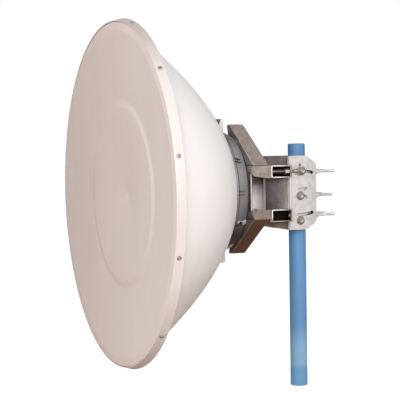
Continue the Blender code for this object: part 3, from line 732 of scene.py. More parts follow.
# A darker copy of the casting, painted shade on the wall between the windows: darker towards the rib and the
# top, and lighter by the cheek as painted light against the cheek's shadow
CAST_PAINTED_SHADE = cast("shadowed_casting", "dark_casting", (0.212, 0.188, 0.173), (0.132, 0.113, 0.105),
                 Grade(FRONT, (0.045, 0.118), (0.29, 0.29, 0.30)),
                 Grade(BACK, (-0.064, -0.052), (1.9, 1.8, 1.75)),
                 Grade(UP, (0.555, 0.590), (0.68, 0.66, 0.65)), below_share=0.8, roughness=0.5, metallic=0.5,
                 bump=0.00012, patch=38.0)
# A dark copy of the casting: painted shade on the wall above the windows, the hub's side fins and the front
# plate's front face
CAST_DARK_SHADE = cast("painted_dark_shade_casting", "dark_casting", (0.125, 0.108, 0.10), (0.075, 0.065, 0.06), roughness=0.5,
                metallic=0.5, bump=0.00012, patch=38.0)
# A dark brown copy of the casting for the wall below the windows: painted shade with a painted ground
# reflection
CAST_BROWN_SHADE = cast("painted_brown_shade_casting", "dark_casting", (0.125, 0.085, 0.065), (0.07, 0.045, 0.033),
                below_share=1.0, roughness=0.55, metallic=0.3, bump=0.00012, patch=45.0)
# The lower arm's rounded edges, lighter than its brown faces as a painted highlight
CAST_EDGE_HIGHLIGHT = cast("painted_highlight_casting_edge", "dark_casting", (0.29, 0.215, 0.165), (0.21, 0.155, 0.12),
                 roughness=0.5, metallic=0.4, bump=0.0001, patch=75.0)
# Near white: a painted reflection in the cove, fading towards the rear, with painted shadow under the upper
# window
COVE = cast("painted_reflection_cove", "dark_casting", (0.95, 0.93, 0.93), (0.80, 0.78, 0.78),
            Grade(BACK, (-0.166, -0.130), (0.45, 0.43, 0.43)), Grade(UP, (0.530, 0.562), (0.66, 0.64, 0.64)),
            Grade(UP, (0.556, 0.584), (0.17, 0.16, 0.15)), roughness=0.42, metallic=0.5, bump=0.00010,
            patch=60.0)
# The rib's painted highlight, darker towards the top as painted shade
RIB = cast("painted_highlight_rib", "dark_casting", (0.25, 0.235, 0.225), (0.20, 0.185, 0.175),
           Grade(UP, (0.52, 0.592), (0.60, 0.58, 0.57)), roughness=0.45, metallic=0.4, bump=0.00008)
# Near black: painted shade in the windows, at the long slots' rear ends and on the strap's screw
SHADE_BLACK = cast("painted_shade_black", "dark_casting", (0.006, 0.005, 0.004), (0.003, 0.0025, 0.002), roughness=0.8,
             specular=0.1, bump=0.00008)
BRIGHT = cast("bright_casting", "bright_casting", (0.56, 0.54, 0.54), (0.47, 0.45, 0.445),
              Grade(BACK, (-0.01, 0.03), (0.86, 0.85, 0.85)), below_share=0.6, roughness=0.48, metallic=0.35,
              bump=0.00012, patch=70.0)
# Near white: a painted highlight on rounded edges, and painted light on the cheeks' front faces and middle
# slots
BRIGHT_HIGHLIGHT = cast("painted_highlight_bright_edge", "bright_casting", (0.90, 0.88, 0.87), (0.80, 0.77, 0.76),
                   below_share=0.4, roughness=0.4, metallic=0.1, bump=0.00005)
# The window lips are near white as a painted highlight, darker towards the rear and the bottom as painted
# shade
LIP = cast("window_lip", "bright_casting", (0.88, 0.86, 0.85), (0.76, 0.73, 0.72),
           Grade(BACK, (-0.090, -0.064), (0.38, 0.36, 0.35)),
           Grade(DOWN, (-0.482, -0.478), (0.42, 0.40, 0.39)), roughness=0.4, metallic=0.3, bump=0.00005)
# The lug's front part is painted black as painted shade
LUG = cast("bright_lug", "bright_casting", (0.66, 0.62, 0.60), (0.56, 0.52, 0.50),
           Grade(LUG_WAY, (0.4968, 0.4992), (0.10, 0.08, 0.07)), roughness=0.45, metallic=0.2, bump=0.00008)
STEEL = steel("bolt_steel", (0.46, 0.41, 0.375), (0.30, 0.26, 0.235), below_share=0.5, roughness=0.36,
              metallic=0.8, bump=0.00004)
HEAD = steel("bright_bolt_steel", (0.36, 0.33, 0.31), (0.28, 0.25, 0.23), below_share=0.4, roughness=0.4,
             metallic=0.6, bump=0.00004)
# A darker copy of the bolt steel for the nut's sleeve
BARREL = steel("dark_steel", (0.15, 0.132, 0.12), (0.10, 0.088, 0.08), roughness=0.4, metallic=0.9,
               bump=0.00003)
WASHER = steel("dull_washer", (0.23, 0.205, 0.187), (0.16, 0.142, 0.13), roughness=0.5, metallic=0.4,
               bump=0.00004)
ZINC = steel("zinc_plate", (0.66, 0.69, 0.73), (0.50, 0.53, 0.57), roughness=0.32, metallic=0.6,
             bump=0.00003)
BLUE = Finish("blue_enamel", "blue_paint", Pattern.STREAKED, (0.100, 0.258, 0.478), (0.080, 0.218, 0.417),
              BROWN, roughness=0.6, roughness_swing=0.05, bump=0.00003, grain=260.0,
              grades=(Grade(DOWN, (-0.19, -0.10), (2.2, 1.58, 1.26)),
                      Grade(DOWN, (-0.068, -0.044), (0.60, 0.80, 0.89)),
                      Grade(UP, (0.62, 0.65), (0.84, 0.86, 0.88))))


@dataclass(frozen=True)
class Patch:
    """A box in which a piece's faces take another finish.

    Where split is set the faces are cut free along the box, and where facing is given only the
    faces that look roughly that way count.
    """

    low: Point
    high: Point
    finish: Finish
    split: bool = False
    facing: Point | None = None

    def holds(self, face: bmesh.types.BMFace) -> bool:
        """Return whether a face's middle lies in the box and the face looks the right way."""
        middle = face.calc_center_median()
        inside = all(low <= value <= high for low, value, high in zip(self.low, middle, self.high))
        return inside and (self.facing is None or face.normal.dot(Vector(self.facing)) > 0.6)

    def cut_free(self, bm: bmesh.types.BMesh) -> None:
        """Split a mesh's faces along the box's upright and level planes."""
        for corner in (self.low, self.high):
            for axis in (1, 2):
                way = [0.0, 0.0, 0.0]
                way[axis] = 1.0
                whole = [*bm.verts, *bm.edges, *bm.faces]
                bmesh.ops.bisect_plane(bm, geom=whole, dist=SOLID_WELD, plane_co=corner, plane_no=way)


# Sub-assemblies


def rear_edges(bm: bmesh.types.BMesh, node: str) -> list[bmesh.types.BMEdge]:
    """Find the level edges at a solid's rear, at its top and its bottom.

    Args:
        bm: The solid's faces.
        node: The node that they come from.

    Returns:
        The edges.
    """
    low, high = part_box(node)

    def lies(edge: bmesh.types.BMEdge, height: float) -> bool:
        """Return whether an edge runs along the rear at one height."""
        return all(point.co.y > high.y - EDGE_NEAR and abs(point.co.z - height) < EDGE_NEAR
                   for point in edge.verts)

    return [edge for edge in bm.edges if lies(edge, low.z) or lies(edge, high.z)]


@dataclass
class SubAssembly:
    """A group of pieces that ride on one body."""

    body: str

    def dress(self, piece: bpy.types.Object, finish: Finish, *nodes: str,
              edge: Finish | None = None) -> None:
        """Give a piece its finish and its body, and hide the nodes that it stands for.

        Args:
            piece: The finished piece.
            finish: Its main finish.
            nodes: The frame's nodes that it replaces.
            edge: The finish of its rounded edges, if they differ.
        """
        piece.data.materials.append(finish.material())
        if edge is not None:
            piece.data.materials.append(edge.material())
        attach(piece, self.body)
        if nodes:
            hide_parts(*nodes)
        LOG.info("%s rides on %s with %s", piece.name, self.body, finish.name)

    def build(self, name: str, skins: list[Skin], finish: Finish, *nodes: str,
              angle: float = SHARP_ANGLE) -> None:
        """Make a piece of skins and dress it."""
        self.dress(build_mesh(name, skins, angle), finish, *nodes)

    def softened(self, name: str, node: str, finish: Finish, edge: Finish | None, width: float,
                 segments: int = 3, patches: tuple[Patch, ...] = (), corner: float = 0.0) -> None:
        """Copy a node's solid, merge its triangles into flats and round its edges.

        Args:
            name: The new piece's name.
            node: The node to copy and replace.
            finish: The flats' finish.
            edge: The rounded edges' finish, or None for the same one.
            width: The rounding's width.
            segments: The rounding's steps.
            patches: Boxes whose faces take another finish.
            corner: Flat cut off the level edges at the rear, above and below.
        """
        bm = bmesh.new()
        bm.from_mesh(NODES[node].data)
        bmesh.ops.remove_doubles(bm, verts=bm.verts, dist=SOLID_WELD)
        bmesh.ops.dissolve_limit(bm, angle_limit=FLAT_ANGLE, verts=bm.verts, edges=bm.edges, delimit=set())
        if corner:
            bmesh.ops.bevel(bm, geom=rear_edges(bm, node), offset=corner, segments=1,
                            affect="EDGES", profile=0.5)
        for patch in patches:
            if patch.split:
                patch.cut_free(bm)
        bm.normal_update()
        first = 1 if edge is None else 2
        for face in bm.faces:
            face.material_index = 0
            for number, patch in enumerate(patches):
                if patch.holds(face):
                    face.material_index = first + number
        made = placed(name, bpy.data.meshes.new(name), bm, SHARP_ANGLE)
        bevel = made.modifiers.new("edges", "BEVEL")
        bevel.width = width
        bevel.segments = segments
        bevel.limit_method = "ANGLE"
        bevel.angle_limit = BEVEL_ANGLE
        bevel.harden_normals = True
        bevel.miter_outer = "MITER_ARC"
        if edge is not None:
            bevel.material = 1
        self.dress(made, finish, node, edge=edge)
        for patch in patches:
            made.data.materials.append(patch.finish.material())


@dataclass
class Dish(SubAssembly):
    """Radome, rim band with its screws, and reflector."""

    turns: int = 288
    shell: float = 0.003
    lip: float = 0.018
    skirt: float = 0.008
    roll: float = 0.003
    step_outer: float = 0.251
    step_inner: float = 0.226
    step_outer_depth: float = 0.023
    step_inner_depth: float = 0.0203
    centre_depth: float = 0.041
    lip_drop: float = 0.0012
    apex_radius: float = 0.008
    dimple_radius: float = 0.014
    dimple_depth: float = 0.0018
    band_wall: float = 0.0028
    clearance: float = 0.0006
    reflector_rim: float = 0.434
    reflector_focus: float = 0.1532
    reflector_hole: float = 0.080
    reflector_wall: float = 0.0026
    flange_depth: float = 0.0115
    screw_count: int = 12
    screw_back: float = 0.0103
    screw_first: float = math.radians(13.02)
    screw_washer: tuple[float, ...] = (0.0056, -0.0012, 0.0009, 0.0003)
    screw_head: tuple[Pair, ...] = ((0.0, -0.0006), (0.0046, -0.0006), (0.0046, 0.0014), (0.0030, 0.0031),
                                    (0.0016, 0.0031), (0.0016, 0.0016), (0.0, 0.0016))

    def __post_init__(self) -> None:
        """Read the dish's axis, rim plane and radii from the frame."""
        low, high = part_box("rim_band")
        self.centre = Vector((0.0, low.y, (low.z + high.z) / 2))
        self.band_depth = high.y - low.y
        self.band_rear = (high.x - low.x) / 2
        face_low, face_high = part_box("radome")
        self.face_radius = (face_high.x - face_low.x) / 2
        self.rim_radius = self.face_radius + self.band_wall + self.clearance

    def spun(self, profile: np.ndarray, closed: bool = True) -> Skin:
        """Turn a profile of (radius, distance behind the rim) about the dish's axis."""
        return turn_profile(profile, self.centre, BACK, self.turns, closed=closed)

    def face_depth(self, radius: np.ndarray) -> np.ndarray:
        """Depth of the radome's face behind the rim plane.

        Inside the step it is a cone down to the middle, with its point rounded by taking
        sqrt(r^2 + a^2) for r. Across the step it eases between two depths, outside it a slightly
        bowed cone rises to the lip, and the lip falls a little to its outer edge, by the square
        root of the share of its width. A small bell-shaped dimple is added.
        """
        lip_radius = self.face_radius - self.lip
        blunt = np.sqrt(radius ** 2 + self.apex_radius ** 2) / self.step_inner
        inner = self.step_inner_depth + (self.centre_depth - self.step_inner_depth) * (1 - blunt)
        part = np.clip((lip_radius - radius) / (lip_radius - self.step_outer), 0.0, 1.0)
        outer = self.step_outer_depth * part ** 0.9
        across = np.clip((radius - self.step_inner) / (self.step_outer - self.step_inner), 0.0, 1.0)
        ease = across * across * (3 - 2 * across)
        depth = np.where(radius < self.step_outer, inner * (1 - ease) + self.step_outer_depth * ease, outer)
        rolled = self.lip_drop * np.sqrt(np.clip((radius - lip_radius) / self.lip, 0.0, 1.0))
        return depth + rolled + self.dimple_depth * np.exp(-(radius / self.dimple_radius) ** 2)

    def make_radome(self) -> None:
        """The radome: face, rounded rim and a skirt, as one closed shell."""
        edge, lip, roll, skirt = self.face_radius, self.face_radius - self.lip, self.roll, self.skirt
        radius = np.concatenate([np.linspace(0.0, 0.05, 16), np.linspace(0.055, self.step_inner, 24),
                                 np.linspace(self.step_inner, self.step_outer, 14)[1:],
                                 np.linspace(self.step_outer, lip, 30)[1:],
                                 np.linspace(lip, edge - roll, 10)[1:]])
        depth = self.face_depth(radius)
        depth[1:-1] = np.convolve(depth, (0.25, 0.5, 0.25), mode="valid")
        front = np.stack([radius, depth], axis=1)
        corner = rounded([(edge - roll, self.lip_drop), (edge, self.lip_drop), (edge, skirt),
                          (edge - self.shell, skirt), (edge - self.shell, skirt - roll)],
                         0.0018, closed=False)
        back = front[:-2][::-1] + (0.0, self.shell)
        profile = np.concatenate([front, corner[1:], back])
        self.build("moulded_radome", [self.spun(profile, closed=False)], RADOME, "radome")

    def make_band(self) -> None:
        """The rim band: a thin, slightly conical ring with a rounded bead and a return lip."""
        wall, rear, drop = self.band_wall, self.band_rear, self.band_depth
        reach = math.sqrt(self.reflector_rim ** 2 + 4 * self.reflector_focus * 0.003) + self.clearance
        corners = [(self.rim_radius, 0.0), (rear, drop - 0.0008), (rear - 0.0008, drop), (reach, drop),
                   (reach, drop - wall), (rear - wall - 0.002, drop - wall), (self.rim_radius - wall, 0.0)]
        self.build("painted_rim_band", [self.spun(rounded(corners, 0.0012))], BAND, "rim_band")

    def reflector_depth(self, radius: np.ndarray) -> np.ndarray:
        """Distance of the reflector's outer face behind the rim: a paraboloid, depth falls with r^2."""
        return self.band_depth + (self.reflector_rim ** 2 - radius ** 2) / (4 * self.reflector_focus)

    def make_reflector(self) -> None:
        """The reflector: a paraboloid shell whose wall is measured at right angles to it."""
        flange, wall, lip = self.flange_depth, self.reflector_wall, self.face_radius
        rim = math.sqrt(self.reflector_rim ** 2 + 4 * self.reflector_focus * (self.band_depth - flange))
        radius = np.linspace(rim, self.reflector_hole, 90)
        slope = -radius / (2 * self.reflector_focus)
        length = np.sqrt(1 + slope ** 2)
        outer = np.stack([radius, self.reflector_depth(radius)], axis=1)
        inner = outer + np.stack([slope * wall / length, -wall / length], axis=1)
        edge = [(lip, flange - wall), (lip, flange), (rim + 0.001, flange)]
        profile = np.concatenate([edge, outer, inner[::-1][:-3], [(rim - 0.004, flange - wall)]])
        self.build("spun_reflector", [self.spun(profile)], WHITE, "reflector")

    def make_screws(self) -> None:
        """Rim screws: a washer and a domed head with a round socket, every 30 degrees."""
        slope = math.atan2(self.band_rear - self.rim_radius, self.band_depth)
        out = self.rim_radius + (self.band_rear - self.rim_radius) * self.screw_back / self.band_depth
        for number in range(self.screw_count):
            angle = self.screw_first + number * 2 * math.pi / self.screw_count
            cos, sin = math.cos(angle), math.sin(angle)
            way = (cos * math.cos(slope), -math.sin(slope), sin * math.cos(slope))
            at = (out * cos, self.centre.y + self.screw_back, self.centre.z + out * sin)
            head = turn_profile(rounded(self.screw_head, 0.0007, closed=False), at, way, 36, closed=False)
            self.build(f"rim_screw_{number + 1:02d}", [disc(at, way, 36, *self.screw_washer), head], STEEL)

    def make(self) -> None:
        """Make the dish's pieces."""
        self.make_radome()
        self.make_band()
        self.make_reflector()
        self.make_screws()


@dataclass
class Hub(SubAssembly):
    """Ring casting behind the reflector, with its gussets, lugs, tab, plate and port."""

    dish: Dish
    front_radius: float = 0.1745
    back_radius: float = 0.151
    back_bevel: float = 0.003
    inner_radius: float = 0.105
    gussets: int = 12
    gusset_gap: float = 0.0045
    gusset_long: float = 0.024
    gusset_half: float = 0.0010
    gusset_tall: float = 0.0040
    strap_turns: Pair = (math.radians(-27.0), math.radians(-29.6))
    strap_skew: float = math.radians(18.0)
    plate_screws: int = 8
    plate_bore: float = 0.0283
    lug_root_y: float = -0.243
    lug_y: float = -0.2385
    lug_halves: Pair = (0.011, 0.0105)
    strap_screw_y: float = -0.2440
    flange_screw_out: float = 0.0163

    def __post_init__(self) -> None:
        """Read the ring's rear face from the frame."""
        self.back_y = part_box("hub_ring")[1].y
        self.centre = self.dish.centre

    def seat_y(self, radius: float) -> float:
        """Return the Y of the reflector's outer face at one radius."""
        return self.centre.y + float(self.dish.reflector_depth(np.array(radius)))

    def at(self, radius: float, angle: float, y: float) -> Vector:
        """Return the point at a radius and an angle about the dish's axis."""
        return Vector((radius * math.cos(angle), y, self.centre.z + radius * math.sin(angle)))

    def ring_radius(self, y: float) -> float:
        """Return the ring's outer radius at one Y, on its cone."""
        start = self.seat_y(self.front_radius)
        part = (y - start) / (self.back_y - start)
        return self.front_radius + (self.back_radius + self.back_bevel - self.front_radius) * part

    def make_ring(self) -> None:
        """The ring: a conical outer wall with a small foot on the reflector and a flat rear face."""
        zero, foot = self.centre.y, self.seat_y(self.front_radius)
        front, rear = foot - zero, self.back_y - zero
        inner = np.linspace(self.inner_radius, 0.163, 8)
        seat = [(float(r), self.seat_y(float(r)) - zero + 0.0005) for r in inner]
        corners = [(self.front_radius + 0.0012, front + 0.0002), (self.front_radius + 0.0010, front + 0.004),
                   (self.ring_radius(foot + 0.006), front + 0.006),
                   (self.back_radius + self.back_bevel, rear - 0.002),
                   (self.back_radius, rear), (self.inner_radius, rear), *seat]
        self.build("hub_ring_casting", [self.dish.spun(rounded(corners, 0.0016, steps=4))], HUB, "hub_ring")

    def cone_axes(self, turn: float) -> tuple[tuple, tuple, tuple]:
        """Return the directions round the ring, along its cone to the rear and out of it at an angle."""
        start, end = self.seat_y(self.front_radius), self.back_y
        fall = (self.ring_radius(end) - self.ring_radius(start)) / (end - start)
        steep = math.hypot(1.0, fall)
        cos, sin = math.cos(turn), math.sin(turn)
        return ((-sin, 0.0, cos), (fall * cos / steep, 1.0 / steep, fall * sin / steep),
                (cos / steep, -fall / steep, sin / steep))

    def cone_pad(self, turn: float, y: float, halves: Point, power: float = 0.22, skew: float = 0.0) -> Skin:
        """Return a pad on the ring's cone, its halves round the ring, along the cone and out of it.

        Args:
            turn: Angle about the dish's axis.
            y: The pad's middle along the axis.
            halves: Half sizes round the ring, along the cone and out of it.
            power: Sharpness of its edges, as in pad_skin.
            skew: Angle by which it is turned on the cone.

        Returns:
            The pad's skin.
        """
        around, lengthwise, outward = (np.array(axis) for axis in self.cone_axes(turn))
        cos, sin = math.cos(skew), math.sin(skew)
        axes = (around * cos + lengthwise * sin, lengthwise * cos - around * sin, outward)
        return pad_skin(self.at(self.ring_radius(y), turn, y), halves, axes, power)

    def make_gussets(self) -> None:
        """Pairs of small fins along the ring's cone from its front edge, every 30 degrees."""
        y = self.seat_y(self.front_radius) + 0.001 + self.gusset_long / 2
        halves = (self.gusset_half, self.gusset_long / 2, self.gusset_tall)
        gap = self.gusset_gap / self.front_radius
        side_fins: list[Skin] = []
        end_fins: list[Skin] = []
        for number in range(self.gussets):
            angle = number * 2 * math.pi / self.gussets
            fins = side_fins if abs(math.cos(angle)) > 0.7 else end_fins
            fins.extend(self.cone_pad(angle + way * gap, y, halves) for way in (-1, 1))
        # The fins at the sides are dark as painted shade; those above and below take the hub's cover finish
        self.build("hub_side_fins", side_fins, CAST_DARK_SHADE)
        self.build("hub_end_fins", end_fins, COVER)

    def make_lugs(self) -> None:
        """Upright lugs above and below the ring."""
        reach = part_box("hub_ring")[1].z - self.centre.z
        start = self.ring_radius(self.lug_root_y) - 0.006
        middle = (start + reach) / 2
        for side, name in ((1, "top"), (-1, "bottom")):
            place = (0.0, self.lug_y, self.centre.z + side * middle)
            block = pad_skin(place, (*self.lug_halves, (reach - start) / 2), (NEAR_WAY, BACK, UP), 0.12, 28)
            self.build(f"lifting_lug_{name}", [block], LUG)

    def make_tab(self) -> None:
        """A bright strap low on the near side of the ring, a little askew, with a screw whose near-black
        finish is painted shade, standing for a dark hole.
        """
        front, rear = self.strap_turns
        middle = (front + rear) / 2
        skins = [self.cone_pad(rear, -0.2285, (0.0062, 0.0055, 0.0034), 0.25),
                 self.cone_pad(front, -0.2520, (0.0036, 0.0034, 0.0030), 0.4),
                 self.cone_pad(middle, -0.2400, (0.0036, 0.0130, 0.0018), 0.2, self.strap_skew)]
        self.build("hub_strap", skins, BRIGHT)
        outward, y = self.cone_axes(middle)[2], self.strap_screw_y
        seat = self.at(self.ring_radius(y), middle, y) + Vector(outward) * 0.0014
        self.build("hub_strap_screw", [hexagon(seat, outward, 0.0, 0.0026, 0.0034)], SHADE_BLACK)

    def make_plate(self) -> None:
        """Closing plate with a raised ring and its screws."""
        low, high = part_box("hub_plate")
        port_low, port_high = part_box("waveguide_port")
        port, rim, bore = (port_high.x - port_low.x) / 2, (high.x - low.x) / 2, self.plate_bore
        y0, y1 = low.y, high.y
        profile = rounded([(bore, y0), (rim, y0), (rim, y1), (rim - 0.014, y1), (rim - 0.016, y1 - 0.0012),
                           (port + 0.030, y1 - 0.0012), (port + 0.028, y1), (bore, y1)], 0.0008, steps=4)
        skins = [turn_profile(profile, (0.0, 0.0, self.centre.z), BACK, 144)]
        for number in range(self.plate_screws):
            at = self.at(rim - 0.007, (number + 0.5) * 2 * math.pi / self.plate_screws, y1)
            skins.append(hexagon(at, BACK, -0.0005, 0.0032, 0.0035))
        self.build("hub_cover", skins, COVER, "hub_plate")

    def make_port(self) -> None:
        """The port with its square flange, softened, and four flange screws."""
        # The flange's rounded edges take a painted highlight
        self.softened("waveguide_flange", "waveguide_port", BRIGHT, BRIGHT_HIGHLIGHT, 0.0006)
        rear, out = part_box("waveguide_port")[1].y, self.flange_screw_out
        places = [(x * out, rear, self.centre.z + z * out) for x in (-1, 1) for z in (-1, 1)]
        self.build("flange_screws", [hexagon(at, BACK, -0.0004, 0.0024, 0.0025) for at in places], STEEL)

    def make(self) -> None:
        """Make the hub's pieces."""
        self.make_ring()
        self.make_gussets()
        self.make_lugs()
        self.make_tab()
        self.make_plate()
        self.make_port()


@dataclass
class Yoke(SubAssembly):
    """Arms, side castings and front plate of the yoke, and the two cheeks."""

    wall_out: float = 0.0467
    tunnel_tall: float = 0.034
    window_up: float = 0.051
    window_down: float = 0.070
    window_front: float = -0.111
    window_rear: float = -0.0575
    window_half: float = 0.0135
    rib_front: float = -0.129
    rib_rear: float = -0.123
    rib_out: float = 0.0525
    cove_front: float = -0.1692
    cove_rear: float = -0.1285
    nut_long: float = 0.013
    nut_flats: float = 0.0071
    nut_bore: float = 0.0056
    sleeve_radius: float = 0.0064
    bead_out: float = 0.0021
    bead_wide: float = 0.0014
    bead_tall: float = 0.0009
    bead_round: float = 0.004
    relief_tall: float = 0.0007
    relief: tuple[tuple[float, ...], ...] = (
        (-0.040, 0.0400, 0.0035, 0.0008), (-0.041, -0.0100, 0.0015, 0.0015), (-0.0405, 0.071, 0.0008, 0.0025))

    def __post_init__(self) -> None:
        """Read the castings' outer face and the heights of their windows from the frame."""
        self.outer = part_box("yoke_side_near")[1].x
        band_low, band_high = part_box("rim_band")
        axis = (band_low.z + band_high.z) / 2
        self.window_heights = {"upper": axis + self.window_up, "lower": axis - self.window_down}

    def across(self, side: Side, near: float, far: float) -> Pair:
        """Return two distances from the middle plane as ordered X values of one side."""
        ends = sorted((side.value * near, side.value * far))
        return ends[0], ends[1]

    def corners(self, side: Side, out: Pair, along: Pair, rise: Pair) -> tuple[Point, Point]:
        """Return a box's corners from two distances out, along Y and in height."""
        low, high = self.across(side, *out)
        return (low, along[0], rise[0]), (high, along[1], rise[1])

    def box_patch(self, side: Side, out: Pair, along: Pair, rise: Pair, finish: Finish,
                  split: bool = False) -> Patch:
        """Return a patch between two distances out, along Y and in height."""
        return Patch(*self.corners(side, out, along, rise), finish, split)

    def side_patches(self, side: Side) -> tuple[Patch, ...]:
        """Painted black shade in the windows, painted light on the front faces, painted shade on the wall
        between, above and below the windows, the rib's painted highlight and the cove's painted reflection.
        """
        top = self.window_heights["upper"] - self.tunnel_tall / 2
        low = self.window_heights["lower"] + self.tunnel_tall / 2
        wall = (self.wall_out - THIN, self.wall_out + THIN)
        along = (self.rib_front - THIN, -0.03)
        whole = (0.0, self.outer + THIN)
        found = [Patch(*self.corners(side, whole, (-0.18, self.cove_front + 0.01), (0.4, 0.8)), CAST_PAINTED_LIGHT,
                       facing=FRONT),
                 self.box_patch(side, wall, along, (low, top), CAST_PAINTED_SHADE),
                 self.box_patch(side, wall, along, (top, 0.8), CAST_DARK_SHADE),
                 self.box_patch(side, wall, along, (0.4, low - self.tunnel_tall), CAST_BROWN_SHADE),
                 self.box_patch(side, (self.wall_out + HAIR, self.outer),
                                (self.cove_front - THIN, self.cove_rear), (low + THIN, top + 0.006), COVE),
                 self.box_patch(side, (self.rib_out - THIN, self.rib_out + THIN),
                                (self.rib_front - THIN, self.rib_rear + THIN), (low, top), RIB)]
        for height in self.window_heights.values():
            below, above = height - self.window_half, height + self.window_half
            found.append(self.box_patch(side, (self.wall_out - HAIR, self.outer + THIN),
                                        (self.window_front - HAIR, self.window_rear + HAIR),
                                        (below - HAIR, above + HAIR), SHADE_BLACK, split=True))
        return tuple(found)

    def make_castings(self) -> None:
        """The dark castings with rounded edges: painted light on front faces, a painted highlight on the
        lower arm's edges, and the front plate in the bright finish, a painted highlight where its side shows,
        with painted shade on its front face.
        """
        front = (Patch((-0.1, -0.22, 0.3), (0.1, -0.16, 0.8), CAST_PAINTED_LIGHT, facing=FRONT),)
        self.softened("upper_arm_casting", "yoke_arm_upper", CAST, None, 0.0045, 4, front)
        self.softened("lower_arm_casting", "yoke_arm_lower", CAST, CAST_EDGE_HIGHLIGHT, 0.0022, 3, front)
        for side in Side:
            name = side.name.lower()
            self.softened(f"{name}_side_casting", f"yoke_side_{name}", CAST, None, 0.0010,
                          patches=self.side_patches(side))
            self.make_beads(side, name)
        plate_low, plate_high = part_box("yoke_plate")
        face = Patch(tuple(plate_low), (plate_high.x, plate_low.y + THIN, plate_high.z), CAST_DARK_SHADE)
        self.softened("front_plate_casting", "yoke_plate", BRIGHT, CAST, 0.0010, patches=(face,))

    def make_beads(self, side: Side, name: str) -> None:
        """The raised lip round three sides of each window: straight runs joined by round corners, near white
        as a painted highlight.
        """
        skins = []
        for height in self.window_heights.values():
            half = self.window_half + self.bead_out
            front = self.window_front - self.bead_out
            rear = self.window_rear + 0.004
            corners = [(rear, height + half), (front, height + half),
                       (front, height - half), (rear, height - half)]
            line = rounded(corners, self.bead_round, steps=9, closed=False)
            line = np.concatenate([np.linspace(line[0], line[1], 8)[:-1], line[1:-1],
                                   np.linspace(line[-2], line[-1], 8)[1:]])
            path = np.stack([np.full(len(line), side.value * self.outer), line[:, 0], line[:, 1]], axis=1)
            skins.append(bead_skin(path, (side.value, 0, 0), self.bead_wide, self.bead_tall))
        self.build(f"{name}_window_lips", skins, LIP)

    def make_cheeks(self) -> None:
        """The bright cheeks, with painted light on their front faces and in the walls of their middle slots,
        a painted highlight on their edges, and painted black shade at the rear ends of their long slots.
        """
        for side in Side:
            name = side.name.lower()
            low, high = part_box(f"cheek_{name}")
            reach = (abs(low.x), abs(high.x))
            out = (min(reach) - HAIR, max(reach) - HAIR)
            middle = (low.z + high.z) / 2
            parts = [((low.y - THIN, low.y + THIN), (low.z, high.z), BRIGHT_HIGHLIGHT),
                     ((-0.05, 0.025), (middle - 0.02, middle + 0.02), BRIGHT_HIGHLIGHT)]
            parts += [((0.004, 0.024), (height - 0.014, height + 0.014), SHADE_BLACK)
                      for height in self.window_heights.values()]
            patches = [self.box_patch(side, out, *part) for part in parts]
            self.softened(f"{name}_cheek_casting", f"cheek_{name}", BRIGHT, BRIGHT_HIGHLIGHT, 0.0009,
                          patches=tuple(patches))
            self.make_relief(side, name)

    def make_relief(self, side: Side, name: str) -> None:
        """Low pads and short dashes that the mould left on a cheek's outer face."""
        low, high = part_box(f"cheek_{name}")
        face = high.x if side is Side.NEAR else low.x
        axis_z = (low.z + high.z) / 2
        axes = (BACK, UP, (side.value, 0, 0))
        skins = [pad_skin((face, y, axis_z + z), (half_y, half_z, self.relief_tall), axes, 0.3, 12)
                 for y, z, half_y, half_z in self.relief]
        self.build(f"{name}_cheek_relief", skins, BRIGHT)

    def make_nut(self) -> None:
        """The tilt screw's nut and the sleeve in front of it, bored wide enough for the screw to swing."""
        low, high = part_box("tilt_nut")
        middle = (low + high) / 2
        length = high.y - low.y
        start = length - self.nut_long
        origin = (middle.x, low.y, middle.z)
        nut = hexagon(origin, BACK, start, length, self.nut_flats, self.nut_bore)
        self.build("adjusting_nut", [nut], STEEL, "tilt_nut")
        sleeve = disc(origin, BACK, 48, self.sleeve_radius, 0.0, start + 0.001, 0.0003, self.nut_bore)
        self.build("nut_sleeve", [sleeve], BARREL)

    def make(self) -> None:
        """Make the yoke's pieces."""
        self.make_castings()
        self.make_cheeks()
        self.make_nut()


